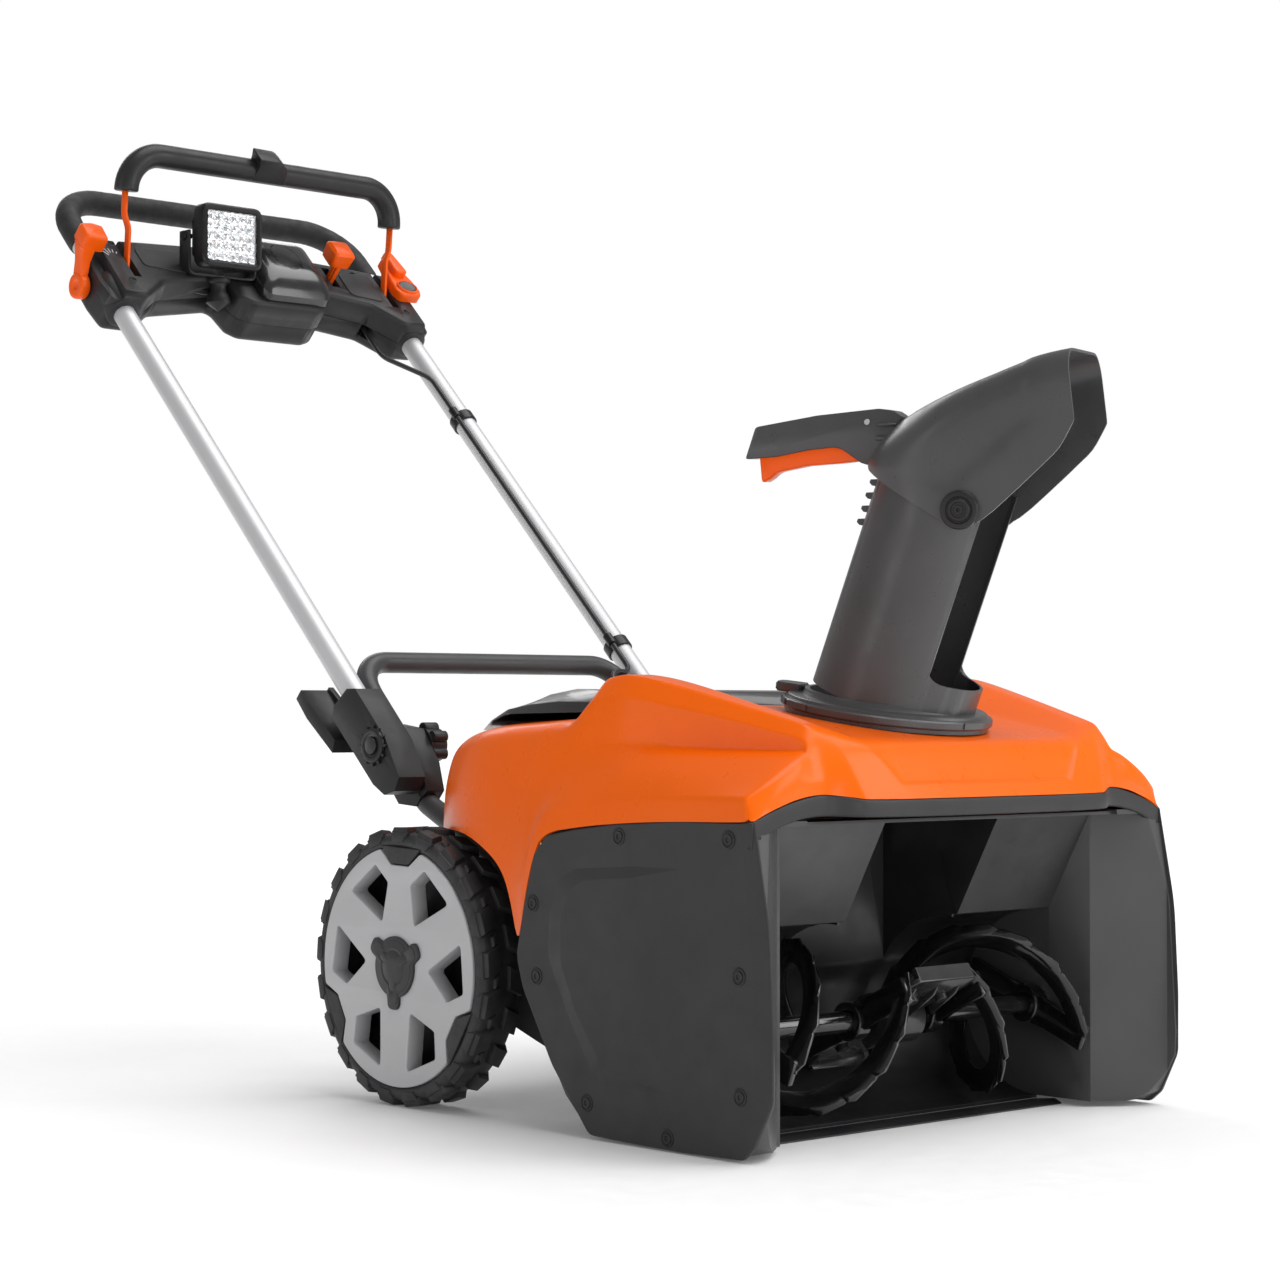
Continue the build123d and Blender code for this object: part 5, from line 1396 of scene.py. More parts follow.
def arm(sign, x, angle):
    """Rubber spoke that carries a ribbon end."""
    bm = bmesh.new()
    for turn in (0, 180):
        rows = []
        for r, wide, thick in ((14, 14, 5), (30, 12.5, 4), (55, 12, 3.6), (74, 12.5, 3.2), (77, 11, 2.6)):
            rows.append([bm.verts.new(turned(sign * x + s * thick, angle + turn, r, d * wide))
                         for s, d in ((1, 1), (1, -1), (-1, -1), (-1, 1))])
        for p, q in zip(rows, rows[1:]):
            for k in range(4):
                bm.faces.new((p[k], p[(k + 1) % 4], q[(k + 1) % 4], q[k]))
        bm.faces.new(rows[0])
        bm.faces.new(rows[-1])
    lathe(bm, [(10.2, -8), (17, -8), (18, -7), (18, 7), (17, 8), (10.2, 8)], (sign * x, AUGER_Y, AUGER_Z), "x", 36, closed=True)
    bmesh.ops.recalc_face_normals(bm, faces=bm.faces)
    return bm


def auger():
    parts = []
    for sign in (-1, 1):
        for start in (FLIGHT_START, FLIGHT_START + 180):
            parts.append(ribbon(sign, start))
        parts.append(arm(sign, 50, FLIGHT_START + 4))
        parts.append(arm(sign, 199, FLIGHT_START + 360 * 152 / FLIGHT_PITCH))
    o = add("auger_ribbons", joined(*parts), "auger", "auger_rubber", AUGER_GLOSS, "auger_flights")
    bevel(o, 0.6, 2, 45)
    freeze(o, 32)

    plates = bmesh.new()
    for turn in (0, 180):
        angle = FLIGHT_START + turn
        outline = rounded([(-44, 22), (44, 22), (44, 70), (38, 83), (-38, 83), (-44, 70)], 3, 3)
        prism(plates, [turned(x, angle, r, -2.6) for x, r in outline], [turned(x, angle, r, 2.6) for x, r in outline])
        lip = [(76, 2), (83.4, 2), (83.0, -13), (78.5, -13), (77.5, -5)]
        prism(plates, [turned(-37, angle, r, f) for r, f in lip], [turned(37, angle, r, f) for r, f in lip])
        for x in (-30, 0, 30):
            web = [(24, 2), (70, 2), (60, 7), (24, 11)]
            prism(plates, [turned(x - 1.5, angle, r, f) for r, f in web], [turned(x + 1.5, angle, r, f) for r, f in web])
    lathe(plates, [(10.1, -26), (22.5, -26), (24, -24.5), (24, 24.5), (22.5, 26), (10.1, 26)], (0, AUGER_Y, AUGER_Z), "x", 48, closed=True)
    bmesh.ops.recalc_face_normals(plates, faces=plates.faces)
    o = add("auger_paddle_plates", plates, "auger", "auger_rubber", PADDLE_DARK, "auger_paddles")
    bevel(o, 0.9, 2, 45)
    freeze(o, 32)
    heads = bmesh.new()
    for turn in (0, 180):
        for x in (-20, 20):
            for side in (-1, 1):
                rows = []
                for r, f in ((7.4, 2.4), (7.4, 3.6), (6.2, 3.8), (6.0, 8), (5.2, 8.7)):
                    rows.append([heads.verts.new(turned(x + r * math.cos(2 * math.pi * k / 24), FLIGHT_START + turn,
                                                        50 + r * math.sin(2 * math.pi * k / 24), side * f)) for k in range(24)])
                for p, q in zip(rows, rows[1:]):
                    for k in range(24):
                        heads.faces.new((p[k], p[(k + 1) % 24], q[(k + 1) % 24], q[k]))
                heads.faces.new(rows[-1])
                heads.faces.new(rows[0])
    bmesh.ops.recalc_face_normals(heads, faces=heads.faces)
    add("paddle_bolt_heads", heads, "auger", "steel", SCREW_DARK, "paddle_bolts", smooth=32)
    refine("auger_shaft", 0.6, AUGER_GLOSS)


liner()
auger()


# ---------------------------------------------------------------- console

def pillow(bm, outline, w_base, w_top, radius, where=slope, steps=4):
    """Solid on an outline whose far rim is rounded over; where(u, v, w) gives the machine point."""
    way = 1 if w_top > w_base else -1
    levels = [(0.0, w_base)]
    for k in range(steps + 1):
        t = math.pi / 2 * k / steps
        levels.append((radius * (1 - math.cos(t)), w_top - way * radius * (1 - math.sin(t))))
    rings = []
    for gap, w in levels:
        loop = offset_loop(outline, gap) if gap > 0 else outline
        rings.append([bm.verts.new(where(u, v, w)) for u, v in loop])
    n = len(outline)
    for a, b in zip(rings, rings[1:]):
        for k in range(n):
            bm.faces.new((a[k], a[(k + 1) % n], b[(k + 1) % n], b[k]))
    bm.faces.new(rings[0])
    bm.faces.new(rings[-1])
    bmesh.ops.recalc_face_normals(bm, faces=bm.faces)
    return bm


def slope_block(u0, u1, v0, v1, w0, w1):
    bm = bmesh.new()
    plate_slope(bm, [(u0, v0), (u1, v0), (u1, v1), (u0, v1)], w0, w1)
    bmesh.ops.recalc_face_normals(bm, faces=bm.faces)
    return bm


def slope_rod(x0, x1, v, w, radius, steps=32):
    bm = bmesh.new()
    centre = slope(0, v, w)
    lathe(bm, [(radius, x0), (radius, x1)], centre, "x", steps)
    return bm


def carve(o, *cutters):
    for bm in cutters:
        tool = loose(bm)
        cut(o, tool)
        freeze(o)
        scrap(tool)


CONSOLE_LINE = [
    ((-226, 1006), 12), ((-230, 1040), 14), ((-229, 1075), 16), ((-216, 1104), 12), ((-150, 1110), 40),
    ((-50, 1117), 40), ((70, 1117), 40), ((150, 1110), 40), ((216, 1104), 12), ((229, 1075), 16),
    ((230, 1040), 14), ((226, 1006), 12), ((185, 1005), 12), ((150, 1036), 22), ((80, 1050), 8),
    ((74, 1020), 14), ((58, 1013), 20), ((-34, 1013), 20), ((-50, 1024), 14), ((-56, 1058), 8),
    ((-150, 1036), 30), ((-185, 1005), 12),
]


def console_halves():
    line = rounded([p for p, _ in CONSOLE_LINE], [r for _, r in CONSOLE_LINE], 6)
    for name, node, base, top, radius in (("console_top", "console_upper", 0.35, 30, 6.5),
                                          ("console_base", "console_lower", -0.35, -29, 9)):
        shell = loose(pillow(bmesh.new(), line, base, top, radius, steps=6), name)
        way = 1 if top > 0 else -1
        rooms = [slope_block(-172, -58, 1066, 1100, base - way * 2, top - way * 5),
                 slope_block(-46, 70, 1030, 1104, base - way * 2, top - way * 5),
                 slope_block(80, 172, 1060, 1098, base - way * 2, top - way * 5)]
        carve(shell, *rooms)
        rod = slope_rod(-190, 190, BAIL_V, BAIL_W, 4.6)
        carve(shell, rod)
        if top > 0:
            for sign in (-1, 1):
                carve(shell, slope_block(*sorted((sign * 180.3, sign * 190.2)), 1038, 1140, -3, 40),
                      slope_block(*sorted((sign * 214.5, sign * 250)), 990, 1130, 17, 50))
            carve(shell, slope_block(104.4, 115.6, 1066, 1102, -2, 50))
        else:
            for sign in (-1, 1):
                carve(shell, slope_block(*sorted((sign * 178, sign * 191)), 1040, 1068, -6, 5))
            carve(shell, slope_block(148, 163, 990, 1047, -16, 5))
            carve(shell, slope_rod(-260, -222, LEVER_V, LEVER_W, 5.6))
        mesh = shell.data.copy()
        scrap(shell)
        o = place(name, mesh, "handle", "dark_plastic", CONSOLE_DARK, (node,))
        bevel(o, 1.2, 2, 50)
        freeze(o, 33)

    # Raised detail: collars where the tubes enter, a step along each wing, screw sockets and dial marks.
    bm = bmesh.new()
    for sign in (-1, 1):
        centre = slope(sign * HANDLE_X, 0, 0)
        rings = []
        for v, r in ((1003.4, 15.2), (1004.2, 18.4), (1006, 20), (1034, 23.5), (1046, 24.5), (1056, 22)):
            rings.append([bm.verts.new(slope(sign * HANDLE_X + r * math.cos(2 * math.pi * k / 40), v,
                                             r * math.sin(2 * math.pi * k / 40))) for k in range(40)])
        for p, q in zip(rings, rings[1:]):
            for k in range(40):
                bm.faces.new((p[k], p[(k + 1) % 40], q[(k + 1) % 40], q[k]))
        bm.faces.new(rings[0])
        bm.faces.new(rings[-1])
    bmesh.ops.recalc_face_normals(bm, faces=bm.faces)
    parts = [bm]
    for u0, u1, v0, v1 in ((-168, -66, 1052, 1098), (124, 172, 1044, 1098)):
        ridge = bmesh.new()
        pillow(ridge, rounded([(u0, v0 + 8), (u1, v0), (u1, v1), (u0, v1 - 4)], 9, 5), 29, 31.4, 1.2)
        parts.append(ridge)
    add("console_collars", joined(*parts), "handle", "dark_plastic", CONSOLE_DARK, smooth=35)

    sockets = []
    for u, v, w in ((-196, 1030, 30), (196, 1030, 30), (-196, 1096, 30), (150, 1096, 30), (-40, 1088, 30)):
        ring = bmesh.new()
        rings = []
        for r, drop in ((5.2, 0.0), (5.0, 0.5), (3.9, 0.55), (3.6, -1.6)):
            rings.append([ring.verts.new(slope(u + r * math.cos(2 * math.pi * k / 28), v + r * math.sin(2 * math.pi * k / 28),
                                               w + drop)) for k in range(28)])
        for p, q in zip(rings, rings[1:]):
            for k in range(28):
                ring.faces.new((p[k], p[(k + 1) % 28], q[(k + 1) % 28], q[k]))
        ring.faces.new(rings[-1])
        bmesh.ops.recalc_face_normals(ring, faces=ring.faces)
        sockets.append(ring)
    add("console_sockets", joined(*sockets), "handle", "dark_plastic", LAMP_BLACK, smooth=35)

    marks = []
    for k in range(5):
        angle = math.radians(60 + 18 * k)
        c, s = math.cos(angle), math.sin(angle)
        u, v = -203 + 14 * c, 1062 + 20 * s
        length = 2.0 + 0.9 * k
        mark = bmesh.new()
        plate_slope(mark, [(u - length * c - s * 0.6, v - length * s + c * 0.6), (u + length * c - s * 0.6, v + length * s + c * 0.6),
                           (u + length * c + s * 0.6, v + length * s - c * 0.6), (u - length * c + s * 0.6, v - length * s - c * 0.6)],
                    29.9, 30.25)
        marks.append(mark)
    add("dial_marks", joined(*marks), "handle", "dark_plastic", LIGHT_GREY)


def dash():
    """Crowned cover over the dash with a sloping front face and a blank oval pad."""
    stations = [(-22, 76, 1020, 1115, 30.3, 14), (-22, 76, 1020, 1115, 40, 14), (-20.6, 74.6, 1024, 1114, 44, 13),
                (-17, 71, 1031, 1112, 49, 12), (-12, 66, 1040, 1108, 53.6, 12), (-6, 60, 1048, 1103, 56.2, 11),
                (0, 54, 1054, 1097, 57, 10)]
    bm = bmesh.new()
    rings = []
    for u0, u1, v0, v1, w, r in stations:
        base = rounded([(u0, v0), (u1, v0), (u1, v1), (u0, v1)], r, 7)
        rings.append([bm.verts.new(slope(u, v, w)) for u, v in base])
    n = len(base)
    for a, b in zip(rings, rings[1:]):
        for k in range(n):
            bm.faces.new((a[k], a[(k + 1) % n], b[(k + 1) % n], b[k]))
    bm.faces.new(rings[0])
    bm.faces.new(rings[-1])
    bmesh.ops.recalc_face_normals(bm, faces=bm.faces)
    add("dash_crown", bm, "handle", "dash_plastic", DASH_GLOSS, "dash_cover", smooth=38)
    pad = bmesh.new()
    rings = []
    for r, w in ((1.0, 56.8), (0.985, 57.0), (0.93, 57.0), (0.90, 56.4), (0.2, 56.4)):
        rings.append([pad.verts.new(slope(26 + 20 * r * math.cos(2 * math.pi * k / 56),
                                          1076 + 24 * r * math.sin(2 * math.pi * k / 56), w)) for k in range(56)])
    for p, q in zip(rings, rings[1:]):
        for k in range(56):
            pad.faces.new((p[k], p[(k + 1) % 56], q[(k + 1) % 56], q[k]))
    pad.faces.new(rings[-1])
    bmesh.ops.recalc_face_normals(pad, faces=pad.faces)
    add("dash_pad", pad, "handle", "dash_plastic", CONSOLE_DARK, smooth=35)


def strap(bm, points, half_wide, half_thick):
    """Flat bar through slope points (x, v, w); its thin side lies along x."""
    pts = [slope(*p) for p in points]
    rows = []
    for i, p in enumerate(pts):
        a, b = pts[max(i - 1, 0)], pts[min(i + 1, len(pts) - 1)]
        way = (b - a).normalized()
        across = Vector((0, -way.z, way.y)).normalized()
        thin = way.cross(across).normalized()
        rows.append([bm.verts.new(p + across * (half_wide * i1) + thin * (half_thick * i2))
                     for i1, i2 in ((1, 1), (1, -1), (-1, -1), (-1, 1))])
    for a, b in zip(rows, rows[1:]):
        for k in range(4):
            bm.faces.new((a[k], a[(k + 1) % 4], b[(k + 1) % 4], b[k]))
    bm.faces.new(rows[0])
    bm.faces.new(rows[-1])
    bmesh.ops.recalc_face_normals(bm, faces=bm.faces)


def bail():
    ends = (1122.5, 86.2)
    corners = [(-189, *ends), (-189, 1150.5, 121.5), (189, 1150.5, 121.5), (189, *ends)]
    line = bent([slope(*c) for c in corners], 42, 16, 0.93)
    first = line[0] + (line[1] - line[0]).normalized() * 1.2
    last = line[-1] + (line[-2] - line[-1]).normalized() * 1.2
    line = [line[0], first] + line[1:-1] + [last, line[-1]]

    def radius(t):
        return 12.6 if t < 1e-6 or t > 1 - 1e-6 else 13.9

    bm = bmesh.new()
    tube(bm, line, radius, 32)
    tab = bmesh.new()
    outline = [((-24, 116), 4), ((-21, 134), 10), ((-25.5, 147), 1.5), ((4, 146.5), 14), ((17, 139), 12), ((22, 124), 6),
               ((24, 116), 4)]
    face = rounded([p for p, _ in outline], [r for _, r in outline], 5)
    prism(tab, [slope(x, 1136, w) for x, w in face], [slope(x, 1160, w) for x, w in face])
    bmesh.ops.recalc_face_normals(tab, faces=tab.faces)
    o = add("bail_loop", joined(bm, tab), "bail", "dark_plastic", BRACKET_DARK, "bail_bar")
    bevel(o, 2.2, 3, 50)
    freeze(o, 40)

    bm = bmesh.new()
    parts = []
    for sign in (-1, 1):
        arm = bmesh.new()
        x_top, x_low = sign * 190.4, sign * 184.8
        strap(arm, [(x_top, 1125, 89.2), (x_top, 1108, 69.2), (x_top - sign * 0.6, 1104.4, 65.3), (x_low + sign * 0.6, 1096, 56.6),
                    (x_low, 1092.6, 53.2), (x_low, 1058, 13), (x_low, BAIL_V - 3, BAIL_W - 3.4)], 4.6, 1.7)
        parts.append(arm)
        eye = bmesh.new()
        lathe(eye, [(8, -1.8), (8, 1.8)], slope(x_low, BAIL_V, BAIL_W), "x", 32)
        parts.append(eye)
    add("bail_rod", slope_rod(-183, 183, BAIL_V, BAIL_W, 4.0), "bail", "dark_plastic", BRACKET_DARK, smooth=35)
    o = add("bail_straps", joined(*parts), "bail", "orange_paint", ORANGE_COAT, "bail_arms")
    bevel(o, 0.7, 2, 50)
    freeze(o, 40)


def levers():
    # Speed lever: dished disc, tapering arm, thumb block.
    disc = bmesh.new()
    profile = [(3.0, -240.6), (4.2, -241.4), (5.6, -242.9), (12.6, -243), (14.4, -242.3), (15, -240.6), (15, -233.2), (14.2, -231.4),
               (5.2, -231.2), (5.0, -223.6), (0.5, -223.6), (0.5, -240.6)]
    lathe(disc, profile, slope(0, LEVER_V, LEVER_W), "x", 48, closed=True)
    arm = bmesh.new()
    rows = []
    for v, w, half, x0, x1 in ((1060, -6, 9.5, -241.6, -233), (1066, 4, 8.4, -242, -232.6), (1074, 16, 7.6, -242.4, -231),
                               (1081, 27, 9.4, -243, -228), (1085, 36, 12, -244, -222)):
        c = slope(0, v, w)
        way = (slope(0, 1084, 32) - slope(0, LEVER_V, LEVER_W)).normalized()
        across = Vector((0, -way.z, way.y))
        rows.append([arm.verts.new(Vector((x, c.y, c.z)) + across * s * half)
                     for x, s in ((x0, 1), (x0, -1), (x1, -1), (x1, 1))])
    for a, b in zip(rows, rows[1:]):
        for k in range(4):
            arm.faces.new((a[k], a[(k + 1) % 4], b[(k + 1) % 4], b[k]))
    arm.faces.new(rows[0])
    arm.faces.new(rows[-1])
    bmesh.ops.recalc_face_normals(arm, faces=arm.faces)
    head = bmesh.new()
    outline = rounded([(-246, 1074.5), (-217, 1072.5), (-215, 1099), (-229, 1103), (-245, 1100)], [5, 5, 5, 12, 6], 5)
    pillow(head, outline, 34, 52, 4.5)
    pillow(head, outline, 34.0, 30.5, 3)
    o = add("speed_thumb", joined(disc, arm, head), "speed", "orange_paint", ORANGE_PART, "speed_lever")
    bevel(o, 1.3, 3, 50)
    freeze(o, 40)

    # Mode paddle: flared block on a stem with two webs.
    stem = slope_block(107.3, 112.7, 1078, 1090, 12, 50)
    webs = [slope_block(106, 114, 1082, 1086, 12, 55)]
    hub = bmesh.new()
    lathe(hub, [(6, 104.4), (6, 115.6)], slope(0, 1084, 10), "x", 32)
    head = bmesh.new()
    rows = []
    for w, u0, u1, v0, v1 in ((46.2, 100, 122, 1082, 1102), (49, 97, 125, 1078.6, 1105), (66, 96, 126, 1077.6, 1107),
                              (69.4, 99, 123, 1080.6, 1104)):
        loop = rounded([(u0, v0), (u1, v0), (u1, v1), (u0, v1)], 4.5, 5)
        rows.append([head.verts.new(slope(u, v, w)) for u, v in loop])
    n = len(rows[0])
    for a, b in zip(rows, rows[1:]):
        for k in range(n):
            head.faces.new((a[k], a[(k + 1) % n], b[(k + 1) % n], b[k]))
    head.faces.new(rows[0])
    head.faces.new(rows[-1])
    bmesh.ops.recalc_face_normals(head, faces=head.faces)
    o = add("mode_rocker", joined(stem, *webs, hub, head), "mode", "orange_paint", ORANGE_PART, "mode_paddle")
    bevel(o, 1.0, 2, 50)
    freeze(o, 40)

    # Start module: rounded base that climbs towards the bail arm, dished oval button.
    base = rounded([(196, 1051), (226, 1051), (231, 1063), (229, 1082), (217, 1124), (202, 1124), (194, 1082), (192, 1062)],
                   [12, 12, 10, 14, 6, 6, 14, 10], 5)
    body = pillow(bmesh.new(), base, 30.2, 41.5, 3.2)
    neck_line = rounded([(201, 1086), (221, 1086), (216, 1126), (203, 1126)], [7, 7, 4, 4], 5)
    neck = pillow(bmesh.new(), neck_line, 40, 50, 3)
    ring = bmesh.new()
    rows = []
    for r, w in ((1.0, 41), (0.98, 43.4), (0.93, 44.2), (0.86, 44.2), (0.82, 43.4), (0.82, 36)):
        rows.append([ring.verts.new(slope(211 + 15.2 * r * math.cos(2 * math.pi * k / 56),
                                          1066 + 11.8 * r * math.sin(2 * math.pi * k / 56), w)) for k in range(56)])
    for p, q in zip(rows, rows[1:]):
        for k in range(56):
            ring.faces.new((p[k], p[(k + 1) % 56], q[(k + 1) % 56], q[k]))
    bmesh.ops.recalc_face_normals(ring, faces=ring.faces)
    shell = loose(body, "start_body")
    well = bmesh.new()
    prism(well, [slope(211 + 12.5 * math.cos(t), 1066 + 9.7 * math.sin(t), 35) for t in (2 * math.pi * k / 56 for k in range(56))],
          [slope(211 + 12.5 * math.cos(t), 1066 + 9.7 * math.sin(t), 60) for t in (2 * math.pi * k / 56 for k in range(56))])
    bmesh.ops.recalc_face_normals(well, faces=well.faces)
    carve(shell, well)
    mesh = shell.data.copy()
    scrap(shell)
    place("start_plinth", mesh, "handle", "orange_plastic", ORANGE_PART, ("start_base",), 38)
    add("start_neck", joined(neck, ring), "handle", "orange_plastic", ORANGE_PART, smooth=38, closed=False)
    button = bmesh.new()
    rows = []
    for r, w in ((1.0, 37.6), (1.0, 42.8), (0.96, 43.6), (0.9, 44), (0.6, 43.4), (0.25, 43.1)):
        rows.append([button.verts.new(slope(211 + 12 * r * math.cos(2 * math.pi * k / 56),
                                            1066 + 9.2 * r * math.sin(2 * math.pi * k / 56), w)) for k in range(56)])
    for p, q in zip(rows, rows[1:]):
        for k in range(56):
            button.faces.new((p[k], p[(k + 1) % 56], q[(k + 1) % 56], q[k]))
    button.faces.new(rows[0])
    button.faces.new(rows[-1])
    bmesh.ops.recalc_face_normals(button, faces=button.faces)
    add("start_cap", button, "starter", "grey_plastic", BUTTON_GREY, "start_button", smooth=40)


console_halves()
dash()
bail()
levers()


# ---------------------------------------------------------------- work light

def lamp(x, y, z):
    """Light millimetres from its face centre: x across, y into the lamp, z up."""
    return Vector((LIGHT_AT[0] + x, LIGHT_AT[1] + y, LIGHT_AT[2] + z))


def lamp_rings(bm, stations, corner, steps=6):
    """Rounded-rectangle shell through (half width, half height, y) stations."""
    rings = []
    for half_x, half_z, y, r in stations:
        loop = rounded([(-half_x, -half_z), (half_x, -half_z), (half_x, half_z), (-half_x, half_z)], r, steps)
        rings.append([bm.verts.new(lamp(u, y, w)) for u, w in loop])
    n = len(rings[0])
    for a, b in zip(rings, rings[1:]):
        for k in range(n):
            bm.faces.new((a[k], a[(k + 1) % n], b[(k + 1) % n], b[k]))
    return rings


def work_light():
    case = bmesh.new()
    rings = lamp_rings(case, [(34.2, 29.2, -8.5, 4), (34.4, 29.4, -14.2, 4), (36.2, 31.2, -15.4, 6), (39.6, 34.6, -15.9, 9),
                              (41.2, 36.2, -15.0, 11), (42, 37, -13.0, 12), (42, 37, 2, 12), (41, 36, 3.4, 12), (39, 34, 4, 12),
                              (37.5, 32.5, 8, 12)], 9)
    case.faces.new(rings[0])
    case.faces.new(rings[-1])
    bmesh.ops.recalc_face_normals(case, faces=case.faces)
    parts = [case]
    for k in range(9):
        x = -32.5 + 8 * k
        fin = bmesh.new()
        high = 31 - 5 * (abs(k - 4) / 4) ** 3
        line = rounded([(7, -high), (20, -high + 5), (20, high - 5), (7, high)], [0.5, 4, 4, 0.5], 3)
        prism(fin, [lamp(x, y, z) for y, z in line], [lamp(x + 3, y, z) for y, z in line])
        bmesh.ops.recalc_face_normals(fin, faces=fin.faces)
        parts.append(fin)
    for sign in (-1, 1):
        pin = bmesh.new()
        lathe(pin, [(3, 38), (3, 46.4), (5.6, 46.5), (5.6, 49.0), (4.8, 49.6), (0.4, 49.6)] if sign > 0 else
              [(3, -38), (3, -46.4), (5.6, -46.5), (5.6, -49.0), (4.8, -49.6), (0.4, -49.6)],
              lamp(0, 14, 0), "x", 28)
        parts.append(pin)
    o = add("light_case", joined(*parts), "light", "lamp_plastic", LAMP_BLACK, "light_housing", smooth=32)

    # Faceted reflector: a field of small bowls behind the lens.
    rng = random.Random(11)
    bowl = bmesh.new()
    across, up = 6, 5
    cell_x, cell_z = 66 / across, 56 / up
    for i in range(across):
        for j in range(up):
            cx, cz = -33 + cell_x * (i + 0.5), -28 + cell_z * (j + 0.5)
            previous = None
            sides = 12
            for r, y in ((1.0, -11.4), (0.74, -10.2), (0.42, -8.6), (0.16, -8.2)):
                ring = []
                for k in range(sides):
                    t = 2 * math.pi * (k + 0.5) / sides
                    c, s = math.cos(t), math.sin(t)
                    square = 1 / max(abs(c), abs(s)) if r == 1.0 else 1.08
                    jitter = rng.uniform(-0.8, 0.8) if r < 1.0 else 0
                    ring.append(bowl.verts.new(lamp(cx + cell_x / 2 * r * square * c, y + jitter, cz + cell_z / 2 * r * square * s)))
                if previous:
                    for k in range(sides):
                        bowl.faces.new((previous[k], previous[(k + 1) % sides], ring[(k + 1) % sides], ring[k]))
                previous = ring
            bowl.faces.new(previous)
    bmesh.ops.recalc_face_normals(bowl, faces=bowl.faces)
    towards = sum(f.normal.y * f.calc_area() for f in bowl.faces)
    if towards > 0:
        bmesh.ops.reverse_faces(bowl, faces=bowl.faces)
    add("light_bowls", bowl, "light", "lamp_plastic", REFLECTOR, closed=False)
    glass = bmesh.new()
    rings = lamp_rings(glass, [(33.8, 28.8, -11.8, 4), (33.8, 28.8, -14.0, 4), (33.2, 28.2, -14.6, 4)], 4)
    glass.faces.new(rings[0])
    glass.faces.new(rings[-1])
    bmesh.ops.recalc_face_normals(glass, faces=glass.faces)
    add("light_glass", glass, "light", "lamp_glass", LENS, "light_lens", smooth=32)


def light_yoke():
    """U bracket under the lamp on a turned post."""
    bm = bmesh.new()
    line = bent([(-46.0, 0, 6), (-46.0, 0, -44), (46.0, 0, -44), (46.0, 0, 6)], 7, 6)
    outer, inner = [], []
    rows = []
    for i, p in enumerate(line):
        a, b = line[max(i - 1, 0)], line[min(i + 1, len(line) - 1)]
        way = (b - a).normalized()
        out = Vector((way.z, 0, -way.x))
        rows.append([bm.verts.new(lamp((p + out * d).x, y, (p + out * d).z)) for d, y in ((1.5, 4), (1.5, 24), (-1.5, 24), (-1.5, 4))])
    for a, b in zip(rows, rows[1:]):
        for k in range(4):
            bm.faces.new((a[k], a[(k + 1) % 4], b[(k + 1) % 4], b[k]))
    bm.faces.new(rows[0])
    bm.faces.new(rows[-1])
    bmesh.ops.recalc_face_normals(bm, faces=bm.faces)
    post = bmesh.new()
    lathe(post, [(0.5, -44.5), (13, -44.5), (14, -46), (14, -50), (9.5, -52), (9, -60), (13, -66), (15, -74), (0.5, -84)],
          lamp(0, 14, 0), "z", 36)
    o = add("light_yoke", joined(bm, post), "handle", "bracket_plastic", BRACKET_DARK, "light_bracket")
    bevel(o, 0.8, 2, 50)
    freeze(o, 35)


work_light()
light_yoke()


# ---------------------------------------------------------------- handle, folding joint, lid, cable

TUBE_LOW_V, TUBE_TOP_V, GRIP_FROM_V = 336.0, 1219.0, 1128.0
CABLE_R, CABLE_DROP_X = 3.0, 118.0
CABLE_UPPER = [(156, 1045, -8), (156, 985, -8), (186, 925, 12), (186, 455, 12)]
CABLE_LOWER = [(150, 165, 426), (CABLE_DROP_X, 95, 340), (CABLE_DROP_X, 42, 300), (CABLE_DROP_X, 16, 284)]


def handle_line(low_v, steps=14):
    corners = [(-HANDLE_X, low_v, 0), (-HANDLE_X, TUBE_TOP_V, 0), (HANDLE_X, TUBE_TOP_V, 0), (HANDLE_X, low_v, 0)]
    return bent([slope(*c) for c in corners], 58, steps, 0.9)


def fine(points, gap):
    """The same line with points no further apart than gap."""
    out = [points[0]]
    for a, b in zip(points, points[1:]):
        n = max(1, math.ceil((b - a).length / gap))
        out.extend(a.lerp(b, k / n) for k in range(1, n + 1))
    return out


def handle():
    bm = bmesh.new()
    tube(bm, handle_line(TUBE_LOW_V), HANDLE_R, 48)
    add("handle_loop", bm, "handle", "aluminium_tube", ALUMINIUM, "handle_tube", smooth=40)
    line = fine(handle_line(GRIP_FROM_V), 6)
    rng = random.Random(5)
    swell = [rng.uniform(-0.12, 0.12) for _ in line]

    def radius(t):
        i = round(t * (len(line) - 1))
        end = min(i, len(line) - 1 - i)
        return HANDLE_R + (0.9, 1.9)[min(end, 1)] + 0.25 + swell[i]

    bm = bmesh.new()
    tube(bm, line, radius, 40)
    grip = add("grip_foam", bm, "handle", "foam", FOAM_BLACK, "grip_sleeve", smooth=40)


